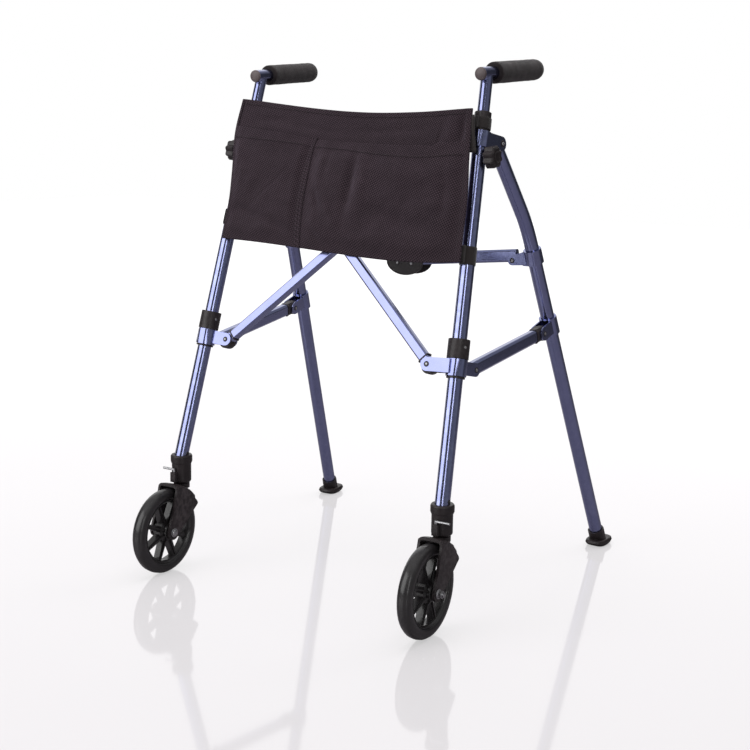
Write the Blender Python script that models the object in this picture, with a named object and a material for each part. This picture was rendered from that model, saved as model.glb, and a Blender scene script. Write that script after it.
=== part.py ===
"""Folding walker with two front casters, rear glides and a fabric pouch.

+Z is up, the casters point to -Y, the hand grips point to +Y, and x = 0 halves the walker.
Each side is built once in metres for the right side and mirrored for the left.
"""

import math

import bmesh
import bpy
from mathutils import Matrix, Vector

GAP = 0.0003  # clearance between neighbouring pieces

# Right front leg: where its axis meets the floor, its direction, and the outward side normal.
LEG_FOOT = Vector((0.28125, -0.28776, 0.0))
LEG_UP = Vector((-0.05359, 0.26415, 0.96299)).normalized()
SIDE_TOE = math.radians(3.221)
SIDE_TILT = math.radians(4.060)
LEG_LEAN = math.radians(15.113)
FRONT_LEAN = math.atan(0.2743)

# Heights along the front leg, measured from the floor end of its axis.
TUBE_BOTTOM = 0.2080
TUBE_TOP = 0.8500
COLLAR_LOW = 0.8228
COLLAR_TOP = 0.8552
CLAMP_LOW = 0.7955
CLAMP_TOP = 0.8224
KNOB_AT = 0.7790
HINGE = (0.0465, 0.8145)
STOP_LOW = 0.4467
STOP_TOP = 0.4788
SLIDER_LOW = 0.4185
SLIDER_TOP = 0.4463
BUSHING_LOW = 0.4150
BRACE_FRONT = (0.0428, 0.4345)
BRACE_REAR = (-0.0406, 0.0100)
LINK_INSET = 0.0450
LINK_UPPER = 0.8050
LINK_LOWER = 0.4340
LINK_LAYER = 0.0086
LINK_WIDE = 0.0180
LINK_DEEP = 0.0160

# Tube sizes, across the flats.
LEG_WIDE = 0.0240
LEG_BORE = 0.0212
POST_WIDE = 0.0200
COLLAR_WIDE = 0.0272
POST_BORE = 0.0172

# Rear leg in the side plane: (rearward, up) from the front leg's floor point.
REAR_TOP = (0.2572, 0.7742)
REAR_BEND = (0.3594, 0.6340)
REAR_FOOT = (0.6126, 0.0042)
BEND_CUT = 0.034

# Rear cross bar.
BAR_OUT = Vector((0.2220, 0.1090, 0.5667))
BAR_IN = Vector((0.0150, 0.1090, 0.5477))
BAR_LAYER = 0.0075
BAR_TALL = 0.0230
BAR_RISE = 0.0085  # the bar's centre above its pins
BAR_DEEP = 0.0140

# Caster.
SWIVEL = Vector((0.2701, -0.2310, 0.0))
AXLE = Vector((0.2701, -0.2785, 0.0762))
TYRE_R = 0.0762
RIM_R = 0.0580
FORK_HALF = 0.0225
FORK_WALL = 0.0045
PIN_REACH = 0.0205

MIRROR = Matrix.Diagonal((-1.0, 1.0, 1.0, 1.0))


# ---------------------------------------------------------------- frames

def side_frame():
    """Local X points out of the side, Y rearward and level, Z up in the side's plane."""
    turn = Matrix.Rotation(-SIDE_TOE, 4, "Z")
    tilt = Matrix.Rotation(-SIDE_TILT, 4, "Y")
    return Matrix.Translation(LEG_FOOT) @ turn @ tilt


def leg_frame(height=0.0, rearward=0.0):
    """As the side frame, with Z along the front leg."""
    lean = Matrix.Rotation(-LEG_LEAN, 4, "X")
    return side_frame() @ lean @ Matrix.Translation((0.0, rearward, height))


def front_frame():
    """Origin on the symmetry plane, X to the right, Z up along the front legs' common plane."""
    base = Matrix.Translation((0.0, LEG_FOOT.y, 0.0))
    return base @ Matrix.Rotation(-FRONT_LEAN, 4, "X")


def on_side(rearward, up, lean=0.0):
    """A frame at a point of the side plane, leaning rearward at its top by -lean."""
    place = Matrix.Translation((0.0, rearward, up))
    return side_frame() @ place @ Matrix.Rotation(-lean, 4, "X")


# ---------------------------------------------------------------- shapes

def ring_of(count, radius, turn=0.0):
    """Corner points of a regular polygon."""
    step = 2.0 * math.pi / count
    return [(radius * math.cos(turn + i * step), radius * math.sin(turn + i * step))
            for i in range(count)]


def octagon(wide, corner=0.0022):
    """An octagonal section with its corners cut by small flats."""
    half = wide / 2.0
    edge = half * math.tan(math.radians(22.5))
    points = []
    for i in range(8):
        angle = i * math.pi / 4.0
        for across in (-(edge - corner), edge - corner):
            points.append((half * math.cos(angle) - across * math.sin(angle),
                           half * math.sin(angle) + across * math.cos(angle)))
    return points


def box_section(wide, deep, cut=0.0025):
    """A rectangle with its four corners cut."""
    x = wide / 2.0
    y = deep / 2.0
    return [(x, -y + cut), (x, y - cut), (x - cut, y), (-x + cut, y),
            (-x, y - cut), (-x, -y + cut), (-x + cut, -y), (x - cut, -y)]


def sweep(path, outer, inner=None):
    """A closed solid whose section follows frames along a path; inner makes it a tube."""
    shape = bmesh.new()
    rows = [[shape.verts.new(frame @ Vector((x, y, 0.0))) for x, y in outer] for frame in path]
    holes = []
    if inner:
        holes = [[shape.verts.new(frame @ Vector((x, y, 0.0))) for x, y in inner] for frame in path]
    for ring_set in (rows, holes):
        for low, high in zip(ring_set, ring_set[1:]):
            count = len(low)
            for i in range(count):
                j = (i + 1) % count
                shape.faces.new((low[i], low[j], high[j], high[i]))
    if inner:
        for ends, hole in ((rows[0], holes[0]), (rows[-1], holes[-1])):
            cap_ring(shape, ends, hole)
    else:
        shape.faces.new(rows[0])
        shape.faces.new(rows[-1])
    bmesh.ops.recalc_face_normals(shape, faces=shape.faces)
    return shape


def cap_ring(shape, outside, inside):
    """Closes the end between two rings with the same number of corners."""
    count = len(outside)
    for i in range(count):
        j = (i + 1) % count
        shape.faces.new((outside[i], outside[j], inside[j], inside[i]))


def prism(points, low, high, inner=None):
    """A section pulled along Z."""
    return sweep([Matrix.Translation((0, 0, low)), Matrix.Translation((0, 0, high))],
                 points, inner)


def turned(profile, count=24):
    """A solid of revolution about Z; profile is a closed loop of (radius, height)."""
    shape = bmesh.new()
    rings = []
    for i in range(count):
        angle = 2.0 * math.pi * i / count
        rings.append([shape.verts.new((r * math.cos(angle), r * math.sin(angle), z))
                      for r, z in profile])
    for i in range(count):
        here = rings[i]
        there = rings[(i + 1) % count]
        for a in range(len(profile)):
            b = (a + 1) % len(profile)
            shape.faces.new((here[a], there[a], there[b], here[b]))
    bmesh.ops.remove_doubles(shape, verts=shape.verts, dist=1e-6)
    bmesh.ops.recalc_face_normals(shape, faces=shape.faces)
    return shape


def rod(radius, low, high, count=16, edge=0.0):
    """A round bar along Z, with bevelled ends when edge is set."""
    if not edge:
        return prism(ring_of(count, radius), low, high)
    levels = ((low, radius - edge), (low + edge, radius), (high - edge, radius), (high, radius - edge))
    path = [Matrix.Translation((0, 0, z)) @ Matrix.Scale(r / radius, 4) for z, r in levels]
    return sweep(path, ring_of(count, radius))


def moved(shape, matrix):
    shape.transform(matrix)
    return shape


def along_x(shape):
    """Turns a shape's Z axis to point along X."""
    return moved(shape, Matrix.Rotation(math.pi / 2.0, 4, "Y"))


def along_y(shape):
    """Turns a shape's Z axis to point along Y."""
    return moved(shape, Matrix.Rotation(-math.pi / 2.0, 4, "X"))


def block(low, high):
    """An axis-aligned box between two corners."""
    shape = prism([(low[0], low[1]), (high[0], low[1]), (high[0], high[1]), (low[0], high[1])],
                  low[2], high[2])
    return shape


def gusset(root_x, root_low, root_high, half, low, high):
    """A flat XY plate that narrows from an edge at root_x to a round end about the origin."""
    points = [(root_x, root_high)]
    for i in range(9):
        angle = math.radians(112.0 + 160.0 * i / 8.0)
        points.append((half * math.cos(angle), half * math.sin(angle)))
    points.append((root_x, root_low))
    return prism(points, low, high)


def ear(start, end, half, low, high):
    """A flat plate in the XY plane from start to a round end, between two Z levels."""
    start = Vector(start)
    end = Vector(end)
    ahead = (end - start).normalized()
    side = Vector((-ahead.y, ahead.x)) * half
    points = [start - side, end - side]
    for i in range(1, 8):
        angle = -math.pi / 2.0 + math.pi * i / 8.0
        points.append(end + ahead * (half * math.cos(angle)) + side * math.sin(angle))
    points += [end + side, start + side]
    return prism([(p.x, p.y) for p in points], low, high)


# ---------------------------------------------------------------- objects

MATERIALS = {}


def material(name, colour, metallic, roughness):
    """A Principled material."""
    if name in MATERIALS:
        return MATERIALS[name]
    made = bpy.data.materials.new(name)
    made.use_nodes = True
    shader = made.node_tree.nodes["Principled BSDF"]
    shader.inputs["Base Color"].default_value = (*colour, 1.0)
    shader.inputs["Metallic"].default_value = metallic
    shader.inputs["Roughness"].default_value = roughness
    MATERIALS[name] = made
    return made


LOOKS = {
    "blue_metal": ((0.10, 0.13, 0.36), 0.85, 0.30),
    "black_plastic": ((0.020, 0.018, 0.018), 0.0, 0.50),
    "wheel_plastic": ((0.016, 0.016, 0.017), 0.0, 0.35),
    "grip_foam": ((0.015, 0.014, 0.014), 0.0, 0.85),
    "tyre_rubber": ((0.020, 0.020, 0.021), 0.0, 0.60),
    "steel": ((0.55, 0.55, 0.56), 0.9, 0.30),
    "pouch_fabric": ((0.030, 0.025, 0.024), 0.0, 0.90),
}


def mesh_object(name, shape):
    data = bpy.data.meshes.new(name)
    shape.to_mesh(data)
    shape.free()
    made = bpy.data.objects.new(name, data)
    bpy.context.scene.collection.objects.link(made)
    return made


def combine(base, added=(), removed=()):
    """One shape from a base, the shapes added to it and the shapes cut from it."""
    target = mesh_object("base", base)
    helpers = []
    for operation, shapes in (("UNION", added), ("DIFFERENCE", removed)):
        for shape in shapes:
            helper = mesh_object("helper", shape)
            helpers.append(helper)
            step = target.modifiers.new(operation.title(), "BOOLEAN")
            step.operation = operation
            step.solver = "EXACT"
            step.object = helper
    graph = bpy.context.evaluated_depsgraph_get()
    result = bmesh.new()
    result.from_mesh(bpy.data.meshes.new_from_object(target.evaluated_get(graph)))
    for item in [target, *helpers]:
        bpy.data.objects.remove(item)
    bmesh.ops.remove_doubles(result, verts=result.verts, dist=1e-6)
    return result


def add(name, shape, frame, look, left=False, smooth=False):
    """Places a finished shape as an object; left mirrors it to the other side."""
    if left:
        shape.transform(MIRROR)
        bmesh.ops.reverse_faces(shape, faces=shape.faces)
        frame = MIRROR @ frame @ MIRROR
    made = mesh_object(name, shape)
    made.matrix_world = frame
    made.data.materials.append(material(look, *LOOKS[look]))
    if smooth:
        made.data.polygons.foreach_set("use_smooth", [True] * len(made.data.polygons))
        made.data.update()
    return made


# ---------------------------------------------------------------- front leg

def leg_sleeve(wide, low, high, bore=LEG_WIDE + 2 * GAP):
    """An octagonal sleeve round the leg tube."""
    return prism(octagon(wide), low, high, octagon(bore))


def front_leg(side, left):
    shape = combine(
        prism(octagon(LEG_WIDE), TUBE_BOTTOM, TUBE_TOP, octagon(LEG_BORE)),
        removed=[moved(along_x(rod(0.0045, 0.002, 0.020)), Matrix.Translation((0, 0, KNOB_AT)))])
    add(f"{side}_front_leg", shape, leg_frame(), "blue_metal", left)


def round_octagon(radius, count=16):
    """A round section with as many corners as the octagonal one."""
    return ring_of(count, radius / math.cos(math.pi / count), -math.pi / 8.0 + math.pi / 16.0)


def top_collar(side, left):
    """A plastic cap ring on the tube's end that guides the handle post."""
    body = combine(
        prism(octagon(COLLAR_WIDE), COLLAR_LOW, COLLAR_TOP),
        removed=[
            prism(octagon(LEG_WIDE + 2 * GAP), COLLAR_LOW - 0.01, TUBE_TOP + GAP),
            prism(octagon(POST_WIDE + 0.0008), TUBE_TOP - 0.001, COLLAR_TOP + 0.01)])
    add(f"{side}_top_collar", body, leg_frame(), "black_plastic", left)


def link_ears(height, layer, wall=0.0026):
    """Two plates that hold a front link's end, in the front legs' common plane."""
    plates = []
    near = LINK_DEEP / 2.0 + 0.0006
    for low in (layer - near - wall, layer + near):
        plate = ear((-0.004, 0.0), (-LINK_INSET, 0.0), 0.0115, low, low + wall)
        # plate lies in XY; stand it up so that its plane holds the leg's axis
        plates.append(moved(plate, Matrix.Translation((0, 0, height))
                            @ front_twist() @ Matrix.Rotation(-math.pi / 2.0, 4, "X")))
    reach = near + wall - 0.0003
    root = block((-0.0215, layer - reach, -0.0109), (-0.0035, layer + reach, 0.0109))
    return plates + [moved(root, Matrix.Translation((0, 0, height)) @ front_twist())]


def front_twist():
    """Turn about the leg's axis from the side's plane to the front legs' plane."""
    across = (leg_frame().to_3x3().inverted() @ Vector((0, -1, 0.2743)).normalized())
    return Matrix.Rotation(math.atan2(across.x, -across.y), 4, "Z")


def leg_cut(low, high):
    return prism(octagon(LEG_WIDE + 2 * GAP), low, high)


def upper_clamp(side, left, layer):
    """A band round the leg with ears for the rear leg's hinge and for a front link."""
    ears = []
    rear, up = HINGE
    for low in (-0.0155, 0.0125):
        plate = ear((0.002, up - 0.005), (rear, up), 0.0118, low, low + 0.0030)
        ears.append(moved(plate, Matrix(((0, 0, 1, 0), (1, 0, 0, 0), (0, 1, 0, 0), (0, 0, 0, 1)))))
    ears += link_ears(LINK_UPPER + 0.006, layer)
    holes = [leg_cut(CLAMP_LOW - 0.03, CLAMP_TOP + 0.03),
             moved(along_x(rod(0.0043, -0.03, 0.03)), Matrix.Translation((0, rear, up)))]
    shape = combine(prism(octagon(0.0320), CLAMP_LOW, CLAMP_TOP), ears, holes)
    add(f"{side}_upper_clamp", shape, leg_frame(), "blue_metal", left)


def top_hinge_pin(side, left):
    shape = combine(rod(0.0040, -0.0163, 0.0163),
                    [rod(0.0068, 0.0158, 0.0185, 16, 0.0008), rod(0.0068, -0.0185, -0.0158, 16, 0.0008)])
    add(f"{side}_top_hinge_pin", along_x(shape), leg_frame(HINGE[1], HINGE[0]), "steel", left)


def height_knob(side, left):
    """A lobed hand knob on a short screw that enters the leg's wall."""
    lobes = []
    for i in range(48):
        angle = 2.0 * math.pi * i / 48
        radius = 0.0172 + 0.0018 * math.cos(8 * angle)
        lobes.append((radius * math.cos(angle), radius * math.sin(angle)))
    levels = ((0.0165, 0.86), (0.0185, 1.0), (0.0320, 1.0), (0.0345, 0.93), (0.0360, 0.80))
    path = [Matrix.Translation((0, 0, z)) @ Matrix.Scale(share, 4) for z, share in levels]
    shape = combine(sweep(path, lobes), [rod(0.0040, 0.0112, 0.0175)])
    add(f"{side}_height_knob", along_x(shape), leg_frame(KNOB_AT), "black_plastic", left)


def handle_frame():
    """Origin where the handle tube's axis meets the post's; Z runs rearward along the handle."""
    rise = math.radians(19.8)
    return Matrix.Translation((0, 0, 0.9222)) @ Matrix.Rotation(rise, 4, "X") @ Matrix.Rotation(-math.pi / 2.0, 4, "X")


def handle_set(side, left):
    """The post that slides in the leg, with its handle tube, grip and front cap."""
    tube = moved(rod(0.0110, -0.0200, 0.1670, 20), handle_frame())
    bores = [prism(octagon(POST_BORE), 0.5, 0.9060),
             moved(rod(0.0095, -0.03, -0.0100, 20), handle_frame()),
             moved(rod(0.0095, 0.0140, 0.20, 20), handle_frame())]
    post = combine(prism(octagon(POST_WIDE), 0.6200, 0.9230), [tube], bores)
    add(f"{side}_handle_post", post, leg_frame(), "blue_metal", left)
    profile = [(0.0112, 0.0200), (0.0174, 0.0200), (0.0184, 0.0216), (0.0184, 0.1600),
               (0.0176, 0.1665), (0.0150, 0.1704), (0.0085, 0.1718), (0.0, 0.1720),
               (0.0, 0.1674), (0.0112, 0.1674)]
    add(f"{side}_hand_grip", moved(turned(profile, 28), handle_frame()), leg_frame(),
        "grip_foam", left, True)
    cap = turned([(0.0, -0.0250), (0.0070, -0.0247), (0.0103, -0.0232), (0.0110, -0.0212),
                  (0.0110, -0.0203), (0.0092, -0.0203), (0.0092, -0.0110), (0.0, -0.0110)], 20)
    add(f"{side}_handle_cap", moved(cap, handle_frame()), leg_frame(), "black_plastic", left, True)


def pouch_straps(side, left, lower_at):
    """Two fabric straps that hold the pouch to the leg."""
    for name, low, bore, wide in (
            ("upper", 0.8262, COLLAR_WIDE + 2 * GAP, 0.0300),
            ("lower", lower_at, LEG_WIDE + 2 * GAP, 0.0276)):
        high = low + (0.0190 if name == "upper" else 0.0300 if not left else 0.0270)
        tab = block((-0.009, -0.0210, low + 0.001), (0.007, 0.003 - wide / 2.0, high - 0.001))
        hole = prism(octagon(bore), low - 0.01, high + 0.01)
        shape = combine(prism(octagon(wide), low, high), [moved(tab, front_twist())], [hole])
        add(f"{side}_{name}_strap", shape, leg_frame(), "pouch_fabric", left)


def stop_collar(side, left):
    """A fixed collar that the slider rests against when the walker is open."""
    shape = prism(round_octagon(0.0176), STOP_LOW, STOP_TOP, octagon(LEG_WIDE + 2 * GAP))
    add(f"{side}_stop_collar", shape, leg_frame(), "black_plastic", left)


def slider(side, left, layer):
    """The clamp that slides on the leg, and the plastic bushing inside it."""
    rear, up = BRACE_FRONT
    ears = []
    for low in (-0.0118, 0.0092):
        plate = ear((0.002, up - 0.002), (rear, up), 0.0112, low, low + 0.0026)
        ears.append(moved(plate, Matrix(((0, 0, 1, 0), (1, 0, 0, 0), (0, 1, 0, 0), (0, 0, 0, 1)))))
    ears += link_ears(LINK_LOWER, layer)
    bore = prism(octagon(0.0272), SLIDER_LOW - 0.03, SLIDER_TOP + 0.03)
    shape = combine(prism(octagon(0.0330), SLIDER_LOW, SLIDER_TOP), ears, [bore])
    add(f"{side}_slider_clamp", shape, leg_frame(), "blue_metal", left)
    bushing = combine(
        prism(octagon(0.0266), BUSHING_LOW, SLIDER_TOP, octagon(LEG_WIDE + 2 * GAP)),
        [prism(round_octagon(0.0150), BUSHING_LOW, SLIDER_LOW - GAP, octagon(LEG_WIDE + 2 * GAP))])
    add(f"{side}_slider_bushing", bushing, leg_frame(), "black_plastic", left)


# ---------------------------------------------------------------- rear leg

def rear_direction():
    """Lean of the rear leg's lower straight, from upright."""
    return math.atan2(REAR_FOOT[0] - REAR_BEND[0], REAR_BEND[1] - REAR_FOOT[1])


def rear_path():
    """Frames along the rear leg from its foot to its top, with a smooth bend."""
    foot = Vector(REAR_FOOT)
    bend = Vector(REAR_BEND)
    top = Vector(REAR_TOP)
    low_way = (bend - foot).normalized()
    high_way = (top - bend).normalized()
    points = [foot + low_way * 0.0085]
    for i in range(6):
        t = i / 5.0
        start = bend - low_way * BEND_CUT
        end = bend + high_way * BEND_CUT
        points.append(start * (1 - t) ** 2 + bend * (2 * t * (1 - t)) + end * t ** 2)
    points.append(top + high_way * 0.0105)
    frames = []
    for i, point in enumerate(points):
        before = points[max(i - 1, 0)]
        after = points[min(i + 1, len(points) - 1)]
        way = (after - before).normalized()
        lean = math.atan2(-way.x, way.y)
        frames.append(Matrix.Translation((0, point.x, point.y)) @ Matrix.Rotation(lean, 4, "X"))
    return frames


def rear_leg(side, left):
    hole = moved(along_x(rod(0.0043, -0.03, 0.03)), Matrix.Translation((0, *REAR_TOP)))
    shape = combine(sweep(rear_path(), octagon(LEG_WIDE), octagon(LEG_BORE)), removed=[hole])
    frame = on_side(*REAR_TOP)
    shape.transform(Matrix.Translation((0, -REAR_TOP[0], -REAR_TOP[1])))
    add(f"{side}_rear_leg", shape, frame, "blue_metal", left)


def rear_point(up):
    """A point on the rear leg's lower straight at a height in the side plane."""
    return REAR_FOOT[0] - (up - REAR_FOOT[1]) * math.tan(rear_direction())


def brace_bracket(side, left):
    """A band round the rear leg with ears that hold the side brace."""
    up = 0.4454
    frame = on_side(rear_point(up), up, -rear_direction())
    plates = []
    for low in (-0.0118, 0.0092):
        plate = ear((-0.002, 0.006), BRACE_REAR, 0.0124, low, low + 0.0026)
        plates.append(moved(plate, Matrix(((0, 0, 1, 0), (1, 0, 0, 0), (0, 1, 0, 0), (0, 0, 0, 1)))))
    shape = combine(prism(octagon(0.0310), -0.0110, 0.0222), plates, [leg_cut(-0.04, 0.04)])
    add(f"{side}_brace_bracket", shape, frame, "blue_metal", left)


def bar_bracket(side, left):
    """A band round the rear leg with two inward plates that hold the rear cross bar."""
    up = 0.5705
    frame = on_side(rear_point(up), up, -rear_direction())
    plates = []
    layer = -BAR_LAYER if not left else BAR_LAYER
    near = BAR_DEEP / 2.0 + 0.0006
    for low in (layer - near - 0.0026, layer + near):
        plate = gusset(0.0340, -0.0060, 0.0215, 0.0085, -low - 0.0026, -low)
        plate = moved(plate, Matrix.Rotation(math.pi / 2.0, 4, "X"))
        plates.append(moved(plate, frame.inverted() @ Matrix.Translation(BAR_OUT)))
    reach = near + 0.0023
    root = block((0.0215, layer - reach, -0.0082), (0.0350, layer + reach, 0.0096))
    plates.append(moved(root, frame.inverted() @ Matrix.Translation(BAR_OUT)))
    shape = combine(prism(octagon(0.0310), -0.0045, 0.0225), plates, [leg_cut(-0.04, 0.04)])
    add(f"{side}_bar_bracket", shape, frame, "blue_metal", left)


def foot(side, left):
    """A boat-shaped glide with a flat sole and upturned ends."""
    point = on_side(*REAR_FOOT).translation
    frame = Matrix.Translation((point.x, point.y, 0.0)) @ Matrix.Rotation(-SIDE_TOE, 4, "Z")
    levels = ((0.0, 0.80, 0.62), (0.0030, 0.93, 0.86), (0.0075, 1.0, 1.0), (0.0115, 0.93, 0.96), (0.0125, 0.86, 0.90))
    path = [Matrix.Translation((0, 0, z)) @ Matrix.Diagonal((wide, long, 1.0, 1.0)) for z, wide, long in levels]
    outline = []
    for i in range(28):
        angle = 2.0 * math.pi * i / 28
        c = math.cos(angle)
        s = math.sin(angle)
        outline.append((0.0205 * math.copysign(abs(c) ** 0.55, c), 0.0309 * math.copysign(abs(s) ** 0.75, s)))
    leg_axis = frame.inverted() @ on_side(*REAR_FOOT, -rear_direction())
    socket = moved(prism(octagon(0.0300), 0.002, 0.0300), leg_axis)
    bore = moved(prism(octagon(LEG_WIDE + 2 * GAP), 0.0082, 0.0500), leg_axis)
    trim = block((-0.05, -0.05, -0.05), (0.05, 0.05, 0.0))
    shape = combine(sweep(path, outline), [socket], [bore, trim])
    add(f"{side}_glide_foot", shape, frame, "black_plastic", left, False)


# ---------------------------------------------------------------- links, braces and bars

def link_points():
    """The pin points of a front link in the front frame: upper on one side, lower on the other."""
    to_front = front_frame().inverted() @ leg_frame() @ front_twist()
    upper = to_front @ Vector((-LINK_INSET, 0.0, LINK_UPPER + 0.006))
    lower = to_front @ Vector((-LINK_INSET, 0.0, LINK_LOWER))
    return upper, lower


def front_links():
    """Two crossed links and the bolt where they cross."""
    upper, lower = link_points()
    share = upper.x / (upper.x + lower.x)
    cross_up = upper.z + (lower.z - upper.z) * share
    for name, sign, layer in (("cross_link_front", -1.0, -LINK_LAYER), ("cross_link_rear", 1.0, LINK_LAYER)):
        top = Vector((sign * upper.x, layer, upper.z))
        end = Vector((-sign * lower.x, layer, lower.z))
        way = end - top
        lean = math.atan2(way.x, way.z)
        stand = Matrix.Rotation(lean, 4, "Y")
        body = sweep([Matrix.Translation((0, 0, -0.0090)), Matrix.Translation((0, 0, way.length + 0.0090))],
                     box_section(LINK_WIDE, LINK_DEEP), box_section(LINK_WIDE - 0.003, LINK_DEEP - 0.003, 0.0015))
        hole = moved(along_y(rod(0.0043, -0.02, 0.02)), Matrix.Translation((0, 0, way.length * share)))
        if sign < 0:
            # the front link's own joint is at the crossing
            frame = front_frame() @ Matrix.Translation((0, layer, cross_up)) @ stand
            shape = moved(combine(body, removed=[hole]), Matrix.Translation((0, 0, -way.length * share)))
        else:
            frame = front_frame() @ Matrix.Translation(top) @ stand
            shape = combine(body, removed=[hole])
        add(name, shape, frame, "blue_metal")
    bolt = combine(rod(0.0040, -0.0175, 0.0175),
                   [rod(0.0075, 0.0171, 0.0205, 16, 0.001), rod(0.0075, -0.0205, -0.0171, 16, 0.001)])
    add("scissor_bolt", along_y(bolt), front_frame() @ Matrix.Translation((0, 0, cross_up)), "steel")


def brace_points():
    """Ends of the side brace in the side plane."""
    front = side_frame().inverted() @ leg_frame(BRACE_FRONT[1], BRACE_FRONT[0]).translation
    up = 0.4454
    bracket = on_side(rear_point(up), up, -rear_direction()) @ Vector((0, *BRACE_REAR))
    rear = side_frame().inverted() @ bracket
    return front, rear


def side_brace(side, left):
    """A tube that ties the slider to the rear leg; its origin is on its rear pivot."""
    front, rear = brace_points()
    way = front - rear
    lean = math.atan2(-way.y, way.z)
    frame = side_frame() @ Matrix.Translation(rear) @ Matrix.Rotation(lean, 4, "X")
    levels = ((-0.0095, 1.0), (way.length - 0.0030, 1.0), (way.length + 0.0030, 0.86), (way.length + 0.0065, 0.56))
    path = [Matrix.Translation((0, 0, z)) @ Matrix.Diagonal((1.0, deep, 1.0, 1.0)) for z, deep in levels]
    shape = sweep(path, box_section(0.0170, 0.0235, 0.0040), box_section(0.0140, 0.0205, 0.0032))
    add(f"{side}_side_brace", shape, frame, "blue_metal", left)


def rear_bar(side, left):
    """Half of the rear cross bar, from the rear leg's bracket to the centre hub."""
    layer = -BAR_LAYER if not left else BAR_LAYER
    way = BAR_IN - BAR_OUT
    lean = math.atan2(way.x, way.z)
    frame = Matrix.Translation(BAR_OUT + Vector((0, layer, 0))) @ Matrix.Rotation(lean, 4, "Y")
    path = [Matrix.Translation((BAR_RISE, 0, -0.0060)), Matrix.Translation((BAR_RISE, 0, way.length + 0.0100))]
    shape = sweep(path, box_section(BAR_TALL, BAR_DEEP, 0.0035), box_section(BAR_TALL - 0.003, BAR_DEEP - 0.003, 0.0028))
    add(f"{side}_rear_bar", shape, frame, "blue_metal", left)


def hub_plates():
    """Two round-bottomed plates that join the half bars in the middle."""
    outline = [(-0.0390, 0.0170), (-0.0390, 0.0020)]
    for i in range(1, 14):
        angle = math.pi + math.pi * i / 14.0
        outline.append((0.0390 * math.cos(angle), 0.0020 + 0.0250 * math.sin(angle)))
    outline += [(0.0390, 0.0020), (0.0390, 0.0170), (0.0350, 0.0205), (-0.0350, 0.0205)]
    reach = BAR_LAYER + BAR_DEEP / 2.0 + 0.0006
    for name, low in (("hub_plate_front", -reach - 0.0035), ("hub_plate_rear", reach)):
        shape = moved(prism(outline, -low - 0.0035, -low), Matrix.Rotation(math.pi / 2.0, 4, "X"))
        shape.transform(Matrix.Translation((-BAR_IN.x, 0, 0)))
        add(name, shape, Matrix.Translation(BAR_IN), "black_plastic")


# ---------------------------------------------------------------- caster

def stem_housing(side, left):
    """The fitting on the leg's end that holds the caster's stem and the swivel lock."""
    profile = [(0.0, 0.1550), (0.0138, 0.1550), (0.0170, 0.1586), (0.0174, 0.1600), (0.0174, 0.1900), (0.0185, 0.1925),
               (0.0195, 0.1950), (0.0195, 0.2045), (0.0180, 0.2070), (0.0, 0.2070)]
    frame = Matrix.Translation(SWIVEL)
    ridge = block((-0.0055, -PIN_REACH - 0.0045, 0.1600), (0.0055, -0.0120, 0.1780))
    seat = prism(octagon(LEG_WIDE + 2 * GAP), TUBE_BOTTOM - GAP, 0.3000)
    cuts = [moved(seat, frame.inverted() @ leg_frame()),
            rod(0.0063, 0.14, 0.1850),
            moved(rod(0.0026, 0.14, 0.19, 12), Matrix.Translation((0, -PIN_REACH, 0)))]
    add(f"{side}_stem_housing", combine(turned(profile, 28), [ridge], cuts), frame, "black_plastic", left)


def lock_pin(side, left):
    """A bent steel pin that is pushed down to lock the caster."""
    arm = moved(along_x(rod(0.0022, -0.0015, 0.0250, 12, 0.0005)), Matrix.Translation((0, 0, 0.1826)))
    shape = combine(rod(0.0022, 0.1590, 0.1842, 12, 0.0005), [arm])
    add(f"{side}_lock_pin", shape, Matrix.Translation(SWIVEL + Vector((0, -PIN_REACH, 0))), "steel", left)


def fork_plate(x_low, x_high):
    """A side plate from the crown to the axle, as (y, z) from the axle."""
    outline = [(0.0110, 0.0790), (0.0095, 0.0740), (0.0040, 0.0560), (-0.0012, 0.0335), (-0.0082, 0.0165)]
    for i in range(9):
        angle = math.radians(164.0 + 146.5 * i / 8.0)
        outline.append((0.0133 * math.cos(angle), 0.0133 * math.sin(angle)))
    outline += [(0.0600, 0.0335), (0.0645, 0.0368), (0.0662, 0.0398), (0.0645, 0.0435),
                (0.0580, 0.0510), (0.0460, 0.0670), (0.0300, 0.0775)]
    plate = prism(outline, x_low, x_high)
    turn = Matrix(((0, 0, 1, 0), (1, 0, 0, 0), (0, 1, 0, 0), (0, 0, 0, 1)))
    return moved(plate, turn)


def crown_section():
    """The crown's arch as (x, distance from the axle): a thick band with rounded shoulders."""
    outside = [(0.0224, 0.0690)]
    inside = [(FORK_HALF - FORK_WALL + 0.0001, 0.0690)]
    for i in range(5):
        angle = math.radians(90.0 * i / 4.0)
        outside.append((0.0134 + 0.0090 * math.cos(angle), 0.0752 + 0.0090 * math.sin(angle)))
        inside.append((0.0134 + 0.0047 * math.cos(angle), 0.0745 + 0.0047 * math.sin(angle)))
    half = outside + [(0.0, 0.0850)]
    section = half + [(-x, r) for x, r in reversed(outside)]
    section += [(-x, r) for x, r in inside] + [(0.0, 0.0797)] + list(reversed(inside))
    return section


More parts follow.
